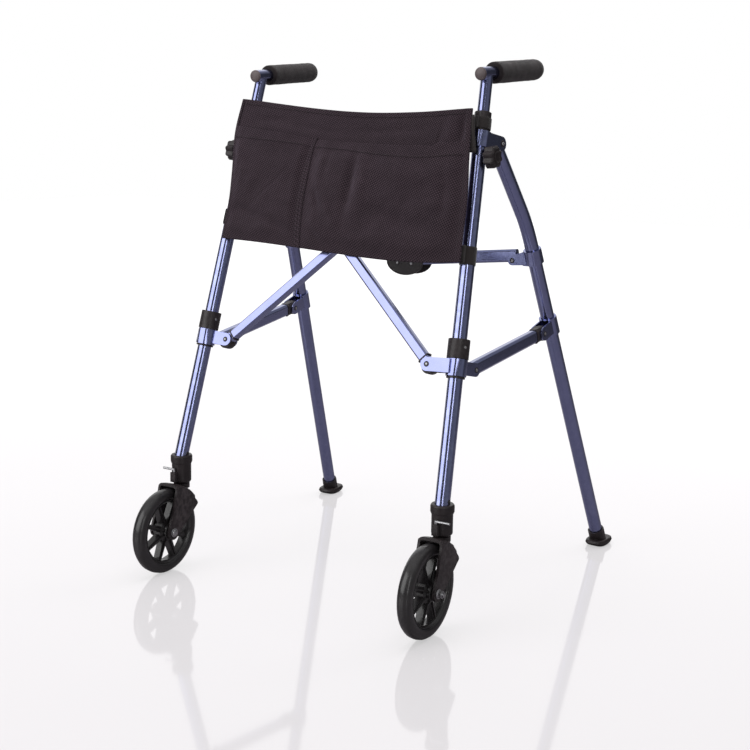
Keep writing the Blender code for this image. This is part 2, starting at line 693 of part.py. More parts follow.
def fork(side, left):
    """The one-piece fork: two plates, an arched crown over the tyre and a stem."""
    path = []
    for i in range(8):
        back = math.radians(7.0 + i * 6.0)
        path.append(Matrix.Rotation(-back, 4, "X"))
    # the section's second coordinate points away from the axle
    stand = Matrix.Rotation(math.pi / 2.0, 4, "X")
    crown = sweep([turn @ stand for turn in path], crown_section())
    reach = SWIVEL.y - AXLE.y
    boss = moved(rod(0.0145, 0.0700, 0.0783, 24), Matrix.Translation((0, reach, 0)))
    stem = moved(rod(0.0060, 0.0750, 0.1060, 16, 0.001), Matrix.Translation((0, reach, 0)))
    hole = along_x(rod(0.0043, -0.04, 0.04))
    plates = [fork_plate(FORK_HALF - FORK_WALL, FORK_HALF), fork_plate(-FORK_HALF, FORK_WALL - FORK_HALF)]
    shape = combine(crown, [*plates, boss, stem], [hole])
    shift = AXLE - SWIVEL
    shape.transform(Matrix.Translation(shift))
    add(f"{side}_fork", shape, Matrix.Translation(SWIVEL), "black_plastic", left)


def wheel_rim(side, left):
    """A moulded wheel with eight windows between its spokes."""
    shape = bmesh.new()
    radii = (0.0043, 0.0130, 0.0200, 0.0530, RIM_R)
    halves = (0.0098, 0.0098, 0.0062, 0.0062, 0.0098)
    inner_open = math.radians(6.5)
    outer_open = math.radians(18.5)
    spots = {}

    def corner(ring, slot, face):
        """A shared vertex; slots alternate between the two edges of each window."""
        key = (ring, slot % 24, face)
        if key not in spots:
            group, part = divmod(slot % 24, 3)
            opening = inner_open if ring <= 2 else outer_open
            angle = group * math.pi / 4.0 + (-opening, 0.0, opening)[part]
            spots[key] = shape.verts.new((radii[ring] * math.cos(angle), radii[ring] * math.sin(angle),
                                          face * halves[ring]))
        return spots[key]

    for ring in range(4):
        for slot in range(24):
            window = ring == 2 and slot % 3 != 2
            if window:
                for high in (2, 3):
                    shape.faces.new((corner(high, slot, -1), corner(high, slot + 1, -1),
                                     corner(high, slot + 1, 1), corner(high, slot, 1)))
                continue
            for face in (-1, 1):
                shape.faces.new((corner(ring, slot, face), corner(ring + 1, slot, face),
                                 corner(ring + 1, slot + 1, face), corner(ring, slot + 1, face)))
    for slot in range(24):
        for ring in (0, 4):
            shape.faces.new((corner(ring, slot, -1), corner(ring, slot + 1, -1),
                             corner(ring, slot + 1, 1), corner(ring, slot, 1)))
        if slot % 3 != 1:
            shape.faces.new((corner(2, slot, -1), corner(3, slot, -1), corner(3, slot, 1), corner(2, slot, 1)))
    bmesh.ops.recalc_face_normals(shape, faces=shape.faces)
    hubs = [rod(0.0145, 0.0090, 0.0150, 24, 0.001), rod(0.0145, -0.0150, -0.0090, 24, 0.001)]
    full = combine(shape, hubs, [rod(0.0043, -0.03, 0.03)])
    add(f"{side}_wheel_rim", along_x(full), Matrix.Translation(AXLE), "wheel_plastic", left)


def tyre(side, left):
    """A rounded tyre seated on the rim."""
    low = RIM_R + GAP
    profile = [(low, -0.0105), (0.0620, -0.0118), (0.0680, -0.0120), (0.0725, -0.0102), (0.0752, -0.0062),
               (TYRE_R, 0.0), (0.0752, 0.0062), (0.0725, 0.0102), (0.0680, 0.0120), (0.0620, 0.0118), (low, 0.0105)]
    add(f"{side}_tyre", along_x(turned(profile, 48)), Matrix.Translation(AXLE), "tyre_rubber", left, True)


def axle_bolt(side, left):
    """A bolt through the fork, with its head on the inner side and a nut on the outer side."""
    face = FORK_HALF + GAP
    shape = combine(rod(0.0040, -face - 0.001, 0.0330),
                    [rod(0.0068, face, face + 0.0016, 16, 0.0004),
                     prism(ring_of(6, 0.0066), face + 0.0010, 0.0300),
                     rod(0.0062, -0.0266, -face, 16, 0.001)])
    add(f"{side}_axle_bolt", along_x(shape), Matrix.Translation(AXLE), "steel", left)


# ---------------------------------------------------------------- pouch

POUCH_RIGHT_LOW = (0.2527, 0.5977)
POUCH_RIGHT_TOP = (0.2250, 0.8538)
POUCH_LEFT_LOW = (-0.2410, 0.6107)
POUCH_LEFT_TOP = (-0.2440, 0.8673)


def pouch_at(across, up):
    """A point of the pouch's outline from shares of its width and height."""
    low = [a + (b - a) * across for a, b in zip(POUCH_LEFT_LOW, POUCH_RIGHT_LOW)]
    top = [a + (b - a) * across for a, b in zip(POUCH_LEFT_TOP, POUCH_RIGHT_TOP)]
    return (low[0] + (top[0] - low[0]) * up, low[1] + (top[1] - low[1]) * up)


def upright_prism(points, front, back):
    """A plate in the front legs' plane between two distances in front of it."""
    return moved(prism(points, front, back), Matrix.Rotation(math.pi / 2.0, 4, "X"))


def pouch():
    """A fabric panel with two open-topped pockets on its front."""
    corners = [pouch_at(0, 0), pouch_at(1, 0), pouch_at(1, 1), pouch_at(0, 1)]
    add("pouch_panel", upright_prism(corners, 0.0214, 0.0236), front_frame(), "pouch_fabric")
    for name, start, end, rise in (("pouch_pocket_left", 0.015, 0.340, 0.76), ("pouch_pocket_right", 0.352, 0.985, 0.84)):
        outside = [pouch_at(start, 0.02), pouch_at(end, 0.02), pouch_at(end, rise), pouch_at(start, rise)]
        slim = 0.006
        inside = [pouch_at(start + slim, 0.035), pouch_at(end - slim, 0.035),
                  pouch_at(end - slim, 1.2), pouch_at(start + slim, 1.2)]
        shape = combine(upright_prism(outside, 0.0239, 0.0385),
                        removed=[upright_prism(inside, 0.0200, 0.0365)])
        add(name, shape, front_frame(), "pouch_fabric")


# ---------------------------------------------------------------- assembly

def build_side(side, left):
    """Every piece of one side."""
    upper_layer = LINK_LAYER if not left else -LINK_LAYER
    front_leg(side, left)
    top_collar(side, left)
    upper_clamp(side, left, upper_layer)
    top_hinge_pin(side, left)
    height_knob(side, left)
    handle_set(side, left)
    pouch_straps(side, left, 0.5998 if not left else 0.6400)
    stop_collar(side, left)
    slider(side, left, -upper_layer)
    rear_leg(side, left)
    brace_bracket(side, left)
    bar_bracket(side, left)
    side_brace(side, left)
    rear_bar(side, left)
    foot(side, left)
    stem_housing(side, left)
    lock_pin(side, left)
    fork(side, left)
    wheel_rim(side, left)
    tyre(side, left)
    axle_bolt(side, left)


def main():
    for item in list(bpy.data.objects):
        bpy.data.objects.remove(item)
    build_side("right", False)
    build_side("left", True)
    front_links()
    hub_plates()
    pouch()


main()
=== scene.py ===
from math import atan, atan2, cos, dist, exp, hypot, pi, radians, sin, tan

import bmesh
import bpy
from mathutils import Matrix, Vector, noise


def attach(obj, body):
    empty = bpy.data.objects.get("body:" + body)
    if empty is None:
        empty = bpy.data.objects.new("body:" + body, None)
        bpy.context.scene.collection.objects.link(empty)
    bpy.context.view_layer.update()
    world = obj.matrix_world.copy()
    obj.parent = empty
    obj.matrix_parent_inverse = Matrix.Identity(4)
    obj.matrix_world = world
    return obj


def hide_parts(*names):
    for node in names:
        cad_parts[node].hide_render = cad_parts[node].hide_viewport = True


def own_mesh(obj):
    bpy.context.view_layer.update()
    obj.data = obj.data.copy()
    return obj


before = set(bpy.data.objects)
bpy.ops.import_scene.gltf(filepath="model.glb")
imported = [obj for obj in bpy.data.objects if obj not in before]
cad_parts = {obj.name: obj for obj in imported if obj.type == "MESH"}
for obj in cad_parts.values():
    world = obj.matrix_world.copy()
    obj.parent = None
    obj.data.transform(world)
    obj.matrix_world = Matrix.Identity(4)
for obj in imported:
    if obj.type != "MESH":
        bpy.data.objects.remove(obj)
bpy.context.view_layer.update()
SCENE = bpy.context.scene
SIDES = (("right", 1.0), ("left", -1.0))

# ---- the walker's own frames

LEG_FOOT = Vector((0.28125, -0.28776, 0.0))
SIDE_TOE = radians(3.221)
SIDE_TILT = radians(4.06)
LEG_LEAN = radians(15.113)
FRONT_SLOPE = 0.2743
FRONT_LEAN = atan(FRONT_SLOPE)
REAR_TOP = (0.2572, 0.7742)
REAR_BEND = (0.3594, 0.634)
REAR_FOOT = (0.6126, 0.0042)
HINGE = (0.8145, 0.0465)
KNOB_AT = 0.779
BRACE_FRONT = (0.4345, 0.0428)
BRACE_REAR = (-0.0406, 0.01)
BRACKET_UP = 0.4454
LINK_INSET = 0.045
LINK_UPPER = 0.811
LINK_LOWER = 0.434
LINK_LAYER = 0.0086
BAR_OUT = Vector((0.222, 0.109, 0.5667))
BAR_IN = Vector((0.015, 0.109, 0.5477))
BAR_RISE = 0.0085
BAR_LAYER = 0.0075
AXLE = Vector((0.2701, -0.2785, 0.0762))
HANDLE_UP = 0.9222
HANDLE_RISE = radians(19.8)


def spin(angle, axis):
    return Matrix.Rotation(angle, 4, axis)


def shift(x=0.0, y=0.0, z=0.0):
    return Matrix.Translation((x, y, z))


MIRROR = Matrix.Diagonal((-1.0, 1.0, 1.0, 1.0))
QUARTER = pi / 2.0
ALONG_X = spin(QUARTER, "Y")
ALONG_Y = spin(-QUARTER, "X")
AGAINST_Y = spin(QUARTER, "X")
TURN_X = spin(-QUARTER, "Z")  # local Y becomes X


def side_frame():
    """X points out of the right side, Y rearward, Z up in the side's plane."""
    turn = spin(-SIDE_TOE, "Z")
    tilt = spin(-SIDE_TILT, "Y")
    return Matrix.Translation(LEG_FOOT) @ turn @ tilt


def leg_frame(height=0.0, rearward=0.0):
    """As the side frame, with Z along the front leg."""
    lean = spin(-LEG_LEAN, "X")
    return side_frame() @ lean @ shift(y=rearward, z=height)


def front_frame():
    """Origin on the symmetry plane, X to the right, Z up along the front legs' plane."""
    base = shift(y=LEG_FOOT.y)
    return base @ spin(-FRONT_LEAN, "X")


def front_twist():
    """Turn about a leg's axis from the side's plane to the front legs' plane."""
    across = leg_frame().to_3x3().inverted() @ Vector((0, -1, FRONT_SLOPE)).normalized()
    return spin(atan2(across.x, -across.y), "Z")


def rear_lean():
    """Lean of the rear leg's lower straight, from upright."""
    return atan2(REAR_FOOT[0] - REAR_BEND[0], REAR_BEND[1] - REAR_FOOT[1])


def rear_frame(up):
    """A frame on the rear leg's lower straight, Z along the leg."""
    rearward = REAR_FOOT[0] - (up - REAR_FOOT[1]) * tan(rear_lean())
    place = shift(y=rearward, z=up)
    return side_frame() @ place @ spin(rear_lean(), "X")


def handle_frame():
    """Origin where the handle's axis meets the post's; Z runs rearward along the handle."""
    return leg_frame(HANDLE_UP) @ spin(HANDLE_RISE, "X") @ ALONG_Y


def link_pins():
    """The right front link's upper and lower pins in the front frame."""
    to_front = front_frame().inverted() @ leg_frame() @ front_twist()
    return [to_front @ Vector((-LINK_INSET, 0.0, up)) for up in (LINK_UPPER, LINK_LOWER)]


def link_frame(sign):
    """Origin at a front link's upper pin, Z towards its lower pin, Y across its depth."""
    upper, lower = link_pins()
    layer = sign * LINK_LAYER
    top = Vector((sign * upper.x, layer, upper.z))
    way = Vector((-sign * lower.x, layer, lower.z)) - top
    return front_frame() @ Matrix.Translation(top) @ spin(atan2(way.x, way.z), "Y")


def link_length():
    upper, lower = link_pins()
    return hypot(upper.x + lower.x, upper.z - lower.z)


def brace_ends():
    """Front and rear pins of the side brace in the side frame."""
    front = side_frame().inverted() @ leg_frame(*BRACE_FRONT).translation
    rear = side_frame().inverted() @ (rear_frame(BRACKET_UP) @ Vector((0, *BRACE_REAR)))
    return front, rear


def brace_frame():
    """Origin at the side brace's rear pin, Z towards its front pin."""
    front, rear = brace_ends()
    way = front - rear
    lean = spin(atan2(-way.y, way.z), "X")
    return side_frame() @ Matrix.Translation(rear) @ lean


def bar_frame(layer):
    """Origin at a half bar's outer pin, Z towards the hub."""
    way = BAR_IN - BAR_OUT
    place = Matrix.Translation(BAR_OUT + Vector((0, layer, 0)))
    return place @ spin(atan2(way.x, way.z), "Y")


# ---- mesh helpers

def loft(rows, closed=True, caps=True):
    """A skin over rows of points; closed joins each row's ends, caps fills the first and last."""
    shape = bmesh.new()
    rings = [[shape.verts.new(point) for point in row] for row in rows]
    for low, high in zip(rings, rings[1:]):
        count = len(low)
        for i in range(count if closed else count - 1):
            j = (i + 1) % count
            shape.faces.new((low[i], low[j], high[j], high[i]))
    if closed and caps:
        shape.faces.new(rings[0])
        shape.faces.new(rings[-1])
    bmesh.ops.recalc_face_normals(shape, faces=shape.faces)
    return shape


def revolved(profile, count, caps):
    """Sweeps (radius, height) points about Z."""
    turns = [2 * pi * i / count for i in range(count)]
    rows = [[(r * cos(turn), r * sin(turn), z) for turn in turns] for r, z in profile]
    shape = loft(rows, caps=caps)
    bmesh.ops.remove_doubles(shape, verts=shape.verts, dist=1e-6)
    return shape


def turned(profile, count=32):
    """A solid of revolution about Z from an open profile of (radius, height)."""
    return revolved(profile, count, True)


def hoop(profile, count=48):
    """A closed ring about Z from a closed profile of (radius, height)."""
    shape = revolved([*profile, profile[0]], count, False)
    bmesh.ops.recalc_face_normals(shape, faces=shape.faces)
    return shape


def steps(first, last, count):
    """Evenly spaced values with both ends."""
    return [first + (last - first) * i / count for i in range(count + 1)]


def joined(shapes):
    """One mesh from several."""
    whole = bmesh.new()
    for shape in shapes:
        part = bpy.data.meshes.new("part")
        shape.to_mesh(part)
        shape.free()
        whole.from_mesh(part)
        bpy.data.meshes.remove(part)
    return whole


def place(shape, matrix, side):
    """Moves a right-side shape into the world, mirrored if side is -1."""
    shape.transform(matrix)
    if side < 0:
        shape.transform(MIRROR)
        bmesh.ops.reverse_faces(shape, faces=shape.faces)


def linked(name, shape, look):
    """Puts a mesh in the scene as an object with one material."""
    data = bpy.data.meshes.new(name)
    shape.to_mesh(data)
    shape.free()
    data.materials.append(look)
    made = bpy.data.objects.new(name, data)
    SCENE.collection.objects.link(made)
    return made


def piece(name, shape, matrix, body, look, slot, side=1.0, angle=35.0):
    """Makes a smooth object from a right-side shape, mirrored if side is -1, and rides it on a body."""
    place(shape, matrix, side)
    made = linked(name, shape, look)
    made.data.shade_smooth()
    made.data.set_sharp_from_angle(angle=radians(angle))
    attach(made, body)
    return made


def modify(made, kind, **settings):
    """Adds a modifier with its settings."""
    modifier = made.modifiers.new(kind.capitalize(), kind)
    for key, value in settings.items():
        setattr(modifier, key, value)


# ---- materials

BLUE_DEEP = (0.222, 0.245, 0.45)
BLUE_PALE = (0.255, 0.278, 0.505)
BLUE_DRAWN = (0.29, 0.315, 0.55)
# pale blue for raised edges: partly wear, partly a painted highlight
BLUE_WEAR_AND_HIGHLIGHT = (0.5, 0.56, 0.74)
BLACK_RUBBED = (0.075, 0.062, 0.066)
DUST = (0.045, 0.04, 0.042)
NICK = (0.07, 0.068, 0.066)
# painted shade for the hollows of the grip foam's pores
PORE_SHADE = (0.004, 0.004, 0.005)
LINT = (0.16, 0.145, 0.14)


class Graph:
    """Short ways to add and join shader nodes."""

    def __init__(self, tree):
        self.nodes = tree.nodes
        self.links = tree.links

    def feed(self, socket, value):
        """Joins a socket to another, or sets it to a number, a colour or a vector."""
        if isinstance(value, bpy.types.NodeSocket):
            self.links.new(value, socket)
        elif socket.type == "RGBA":
            socket.default_value = (*value, 1.0)
        else:
            socket.default_value = value

    def node(self, kind, inputs=None, **settings):
        """Adds a node with its settings; inputs holds values or sockets by name or number."""
        made = self.nodes.new(kind)
        for key, value in settings.items():
            setattr(made, key, value)
        for key, value in (inputs or {}).items():
            self.feed(made.inputs[key], value)
        return made

    def math(self, kind, *values):
        return self.node("ShaderNodeMath", dict(enumerate(values)), operation=kind).outputs[0]

    def fit(self, value, low, high, out_low, out_high, kind="LINEAR"):
        """Maps a value from one range to another."""
        inputs = dict(enumerate((value, low, high, out_low, out_high)))
        return self.node("ShaderNodeMapRange", inputs, interpolation_type=kind).outputs["Result"]


class Look(Graph):
    """Builds one procedural material."""

    def __init__(self, name, colour, metallic=0.0, roughness=0.5, coat=0.0, sheen=0.0, specular=0.5):
        self.made = bpy.data.materials.new(name)
        self.made.use_nodes = True
        super().__init__(self.made.node_tree)
        self.shader = self.nodes["Principled BSDF"]
        for socket, value in (("Base Color", colour), ("Metallic", metallic), ("Roughness", roughness),
                              ("Coat Weight", coat), ("Coat Roughness", 0.12), ("Sheen Weight", sheen),
                              ("Sheen Roughness", 0.5), ("Specular IOR Level", specular)):
            self.use(socket, value)
        self.place = self.nodes.new("ShaderNodeTexCoord").outputs["Object"]

    def use(self, socket, value):
        self.feed(self.shader.inputs[socket], value)

    def noise(self, scale, detail=4.0, rough=0.55, stretch=None):
        """Noise in object coordinates, which stretch scales along each axis."""
        spot = self.place
        if stretch:
            spot = self.node("ShaderNodeMapping", {"Scale": stretch, "Vector": spot}).outputs["Vector"]
        inputs = {"Scale": scale, "Detail": detail, "Roughness": rough, "Vector": spot}
        return self.node("ShaderNodeTexNoise", inputs).outputs["Fac"]

    def tones(self, value, dark, light, low=0.3, high=0.75):
        """Runs from a dark to a light colour as a value rises."""
        made = self.node("ShaderNodeValToRGB", {"Fac": value})
        for element, position, colour in zip(made.color_ramp.elements, (low, high), (dark, light)):
            element.position = position
            element.color = (*colour, 1.0)
        return made.outputs["Color"]

    def mix(self, share, a, b):
        """Mixes two colours."""
        return self.node("ShaderNodeMix", {0: share, 6: a, 7: b}, data_type="RGBA").outputs[2]

    def edges(self, low, high):
        """Raised edges, where a finish wears first; on the blue metal, paler colour here also stands in as a
        painted highlight.
        """
        return self.fit(self.node("ShaderNodeNewGeometry").outputs["Pointiness"], low, high, 0.0, 1.0)

    def finish(self, colour, noise, smooth, rough, *bumps, span=(0.3, 0.7)):
        """Sets the colour, a roughness that follows a noise, and stacked (height, distance) bumps."""
        self.use("Base Color", colour)
        self.use("Roughness", self.fit(noise, *span, smooth, rough))
        before = {}
        for height, distance in bumps:
            made = self.node("ShaderNodeBump", {"Distance": distance, "Height": height, **before})
            before = {"Normal": made.outputs["Normal"]}
        self.use("Normal", before["Normal"])
        return self.made


def blue_metal(name, along):
    """Blue anodised aluminium, drawn along the tube's way, with faint mottling and paler edges: partly wear,
    partly a painted highlight along the edges.
    """
    look = Look(name, (0.24, 0.265, 0.48), metallic=1.0, roughness=0.19, coat=0.45)
    upright = Vector(along).rotation_difference(Vector((0.0, 0.0, 1.0))).to_euler()
    look.place = look.node("ShaderNodeMapping", {"Rotation": upright, "Vector": look.place}).outputs["Vector"]
    mottle = look.noise(30.0)
    streak = look.noise(60.0, 3.0, stretch=(9.0, 9.0, 0.3))
    base = look.tones(mottle, BLUE_DEEP, BLUE_PALE, high=0.7)
    drawn = look.mix(look.fit(streak, 0.35, 0.7, 0.0, 0.25), base, BLUE_DRAWN)
    patches = look.fit(look.noise(120.0, 3.0), 0.45, 0.65, 0.0, 0.5)
    # paler colour on raised edges, in patches: partly wear, partly a painted highlight
    edge_wear_and_highlight = look.math("MULTIPLY", look.edges(0.54, 0.64), patches)
    return look.finish(look.mix(edge_wear_and_highlight, drawn, BLUE_WEAR_AND_HIGHLIGHT), streak, 0.16, 0.23,
                       (look.noise(420.0, 2.0, stretch=(6.0, 6.0, 0.25)), 0.00001))


def black_plastic(name, dark, light):
    """Moulded nylon: fine spark-eroded grain, slight scuffs and paler rubbed edges."""
    look = Look(name, dark, roughness=0.45, specular=0.5)
    cloud = look.noise(55.0)
    base = look.tones(cloud, dark, light)
    patches = look.fit(look.noise(160.0, 3.0), 0.4, 0.65, 0.0, 0.8)
    rubbed = look.math("MULTIPLY", look.edges(0.53, 0.62), patches)
    return look.finish(look.mix(rubbed, base, BLACK_RUBBED), cloud, 0.36, 0.52,
                       (look.noise(2600.0, 2.0), 0.00005), (look.noise(700.0, 3.0), 0.00004))


def wheel_plastic():
    """Glossier black moulding of the wheel centres, with flow marks and dust."""
    look = Look("wheel_moulding", (0.017, 0.015, 0.017), roughness=0.27, coat=0.35)
    cloud = look.noise(70.0, 5.0)
    dust = look.fit(look.noise(300.0, 6.0, 0.7), 0.52, 0.75, 0.0, 0.35)
    base = look.tones(cloud, (0.0085, 0.0072, 0.008), (0.017, 0.0145, 0.016))
    return look.finish(look.mix(dust, base, DUST), cloud, 0.28, 0.44, (look.noise(1500.0, 2.0), 0.00004))


def tyre_rubber():
    """Smooth polyurethane tyre: satin shine and small nicks."""
    look = Look("tyre_rubber", (0.019, 0.016, 0.018), roughness=0.27, coat=0.4)
    cloud = look.noise(45.0, 5.0)
    nicks = look.fit(look.noise(500.0, 2.0), 0.66, 0.72, 0.0, 1.0)
    base = look.tones(cloud, (0.0115, 0.0098, 0.011), (0.024, 0.0215, 0.0235))
    return look.finish(look.mix(look.math("MULTIPLY", nicks, 0.5), base, NICK), cloud, 0.3, 0.46,
                       (look.noise(900.0, 3.0), 0.00004), (nicks, -0.0001))


def grip_foam():
    """Closed-cell foam of the hand grips: fine pores, darkened in colour as painted shade in their hollows,
    and a dull skin.
    """
    look = Look("grip_foam", (0.014, 0.014, 0.016), roughness=0.85, sheen=0.15, specular=0.3)
    pores = look.node("ShaderNodeTexVoronoi", {"Scale": 900.0, "Vector": look.place})
    depth = look.fit(pores.outputs["Distance"], 0.0, 0.55, 0.0, 1.0)
    base = look.tones(look.noise(60.0), (0.017, 0.0125, 0.0135), (0.034, 0.026, 0.028))
    # painted shade: the pores' hollows are darkened in colour
    shade = look.math("MULTIPLY", look.math("SUBTRACT", 1.0, depth), 0.6)
    return look.finish(look.mix(shade, base, PORE_SHADE), look.noise(200.0, 3.0), 0.7, 0.92,
                       (depth, 0.00022), (look.noise(140.0, 3.0), 0.00025))


def steel():
    """Zinc-plated steel of pins and rivets, lightly scratched and stained."""
    look = Look("zinc_steel", (0.5, 0.5, 0.52), metallic=1.0, roughness=0.34)
    stains = look.tones(look.noise(260.0, 5.0), (0.34, 0.34, 0.36), (0.6, 0.6, 0.61), high=0.7)
    return look.finish(stains, look.noise(900.0, 3.0), 0.24, 0.46, (look.noise(2400.0, 2.0), 0.00003))


def dark_steel():
    """Blackened screws and bolts."""
    look = Look("black_screw", (0.05, 0.05, 0.055), metallic=0.8, roughness=0.4)
    cloud = look.noise(300.0)
    base = look.tones(cloud, (0.03, 0.03, 0.034), (0.09, 0.088, 0.092), high=0.7)
    return look.finish(base, cloud, 0.32, 0.52, (look.noise(2000.0, 2.0), 0.00003))


PLASTIC = black_plastic("black_moulding", (0.012, 0.0085, 0.0095), (0.025, 0.018, 0.02))
WHEEL = wheel_plastic()
CAP = black_plastic("end_plug", (0.1, 0.078, 0.08), (0.17, 0.135, 0.136))
RUBBER = tyre_rubber()
FOAM = grip_foam()
STEEL = steel()
SCREW = dark_steel()
END_METAL = blue_metal("blue_bar_ends", (1.0, 0.0, 0.0))
WEAVE_PITCH = 0.0041
WEAVE_SLOPE = 0.62


def pouch_cloth(name, dark, light):
    """Woven mesh of the pouch: diagonal rows of raised knots over dark gaps, on cloth coordinates."""
    look = Look(name, dark, roughness=0.88, sheen=0.2, specular=0.22)
    look.use("Sheen Tint", (0.85, 0.7, 0.9))
    cloth = look.node("ShaderNodeUVMap", uv_map="cloth").outputs["UV"]
    apart = look.node("ShaderNodeSeparateXYZ", {"Vector": cloth})
    wobble = look.fit(look.noise(90.0, 2.0), 0.3, 0.7, -0.00025, 0.00025)
    across = look.math("ADD", apart.outputs["X"], wobble)
    along = apart.outputs["Y"]
    rows = []
    for way in (look.math("ADD", across, look.math("MULTIPLY", along, WEAVE_SLOPE)),
                look.math("SUBTRACT", along, look.math("MULTIPLY", across, WEAVE_SLOPE))):
        rows.append(look.math("SINE", look.math("MULTIPLY", way, 2.0 * pi / WEAVE_PITCH)))
    knots = look.fit(look.math("MULTIPLY", look.math("ADD", *rows), 0.5), -0.7, 0.8, 0.0, 1.0)
    fine = look.fit(look.noise(2400.0, 2.0, 0.7), 0.3, 0.7, 0.0, 1.0)
    shades = [tuple(c * level for c in light) for level in (0.86, 1.12)]
    tone = look.tones(look.noise(14.0, 5.0, 0.6), *shades, 0.32, 0.68)
    woven = look.mix(look.math("POWER", knots, 1.3), dark, tone)
    lint = look.fit(look.noise(620.0, 2.0, 0.8), 0.7, 0.76, 0.0, 0.35)
    fuzzy = look.mix(look.math("MULTIPLY", fine, 0.25), woven, dark)
    return look.finish(look.mix(lint, fuzzy, LINT), knots, 0.95, 0.78, (knots, 0.00045), (fine, 0.00008),
                       span=(0.0, 1.0))


def webbing(name, dark, light):
    """Ribbed tape of the straps, and sewing thread."""
    look = Look(name, dark, roughness=0.8, sheen=0.25, specular=0.3)
    inputs = {"Scale": 210.0, "Distortion": 0.6, "Vector": look.place}
    rib = look.node("ShaderNodeTexWave", inputs, wave_type="BANDS", bands_direction="DIAGONAL").outputs["Fac"]
    cloud = look.noise(40.0)
    shade = look.math("MULTIPLY", rib, look.fit(cloud, 0.3, 0.7, 0.5, 1.0))
    return look.finish(look.mix(shade, dark, light), cloud, 0.7, 0.9,
                       (rib, 0.00018), (look.noise(1800.0, 2.0), 0.00008))


CLOTH = pouch_cloth("pouch_mesh_cloth", (0.0072, 0.0046, 0.006), (0.075, 0.0485, 0.0615))
TAPE = webbing("pouch_tape", (0.014, 0.011, 0.011), (0.038, 0.031, 0.031))
THREAD = webbing("pouch_thread", (0.014, 0.01, 0.012), (0.04, 0.03, 0.034))


# ---- CAD nodes: materials and rounded edges

def dress(name, look, bevel=0.0006, smooth=35.0, even=False):
    """Gives a CAD node its material, welds its corners, rounds its edges and evens its shading."""
    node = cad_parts[name]
    node.data.materials.clear()
    node.data.materials.append(look)
    modify(node, "WELD", merge_threshold=0.00001)
    if bevel:
        modify(node, "BEVEL", width=bevel, segments=2, limit_method="ANGLE", angle_limit=radians(28))
    node.data.shade_smooth()
    node.data.set_sharp_from_angle(angle=radians(smooth))
    if bevel or even:
        modify(node, "WEIGHTED_NORMAL", keep_sharp=True, weight=90 if bevel else 50)


def tube_directions():
    """The way each tube runs, by node name without its side."""
    leg = leg_frame().to_3x3() @ Vector((0, 0, 1))
    rear = rear_frame(0.3).to_3x3() @ Vector((0, 0, 1))
    front, back = brace_ends()
    brace = side_frame().to_3x3() @ (front - back)
    return {"front_leg": leg, "handle_post": leg, "upper_clamp": leg, "slider_clamp": leg, "rear_leg": rear,
            "bar_bracket": rear, "brace_bracket": rear, "side_brace": brace, "rear_bar": BAR_IN - BAR_OUT}


# Node names without their side, material and edge radius.
DRESS = (
    (("top_collar", "stop_collar", "slider_bushing", "glide_foot"), PLASTIC, 0.0006),
    (("height_knob",), PLASTIC, 0.001),
    (("handle_cap",), CAP, 0.0006),
    (("stem_housing", "fork"), PLASTIC, 0.0008),
    (("wheel_rim",), WHEEL, 0.001),
    (("tyre",), RUBBER, 0.0),
    (("hand_grip",), FOAM, 0.0),
    (("axle_bolt", "lock_pin"), STEEL, 0.0003),
)
SOFT_TUBES = ("front_leg", "handle_post", "rear_leg")


def dress_nodes():
    for side, sign in SIDES:
        for name, way in tube_directions().items():
            look = blue_metal(f"blue_{side}_{name}", (way.x * sign, way.y, way.z))
            if name in SOFT_TUBES:
                dress(f"{side}_{name}", look, 0.0, 50.0, True)
            else:
                dress(f"{side}_{name}", look)
        for names, look, bevel in DRESS:
            for name in names:
                dress(f"{side}_{name}", look, bevel)
    for name, sign in (("cross_link_front", -1.0), ("cross_link_rear", 1.0)):
        way = link_frame(sign).to_3x3() @ Vector((0, 0, 1))
        dress(name, blue_metal(f"blue_{name}", way), 0.0005)
    for name in ("hub_plate_front", "hub_plate_rear"):
        dress(name, PLASTIC, 0.0008)
    dress("scissor_bolt", STEEL, 0.0003)


# ---- pouch

POUCH_RIGHT_LOW = (0.2488, 0.5995)
POUCH_RIGHT_TOP = (0.2285, 0.8538)
POUCH_LEFT_LOW = (-0.2405, 0.6105)
POUCH_LEFT_TOP = (-0.2436, 0.8687)
POUCH_WIDE = 0.48
POUCH_TALL = 0.256
TOP_SAG = 0.0152
LOW_SAG = 0.0092
CLOTH_THICK = 0.0011
PANEL_AT = 0.0226
POCKET_GAP = 0.002
SEAM_WIDE = 0.026
SEAM_TOP = 0.765
HEM_THICK = 0.0007
OVERLAP = 0.002
FRONT = front_frame()
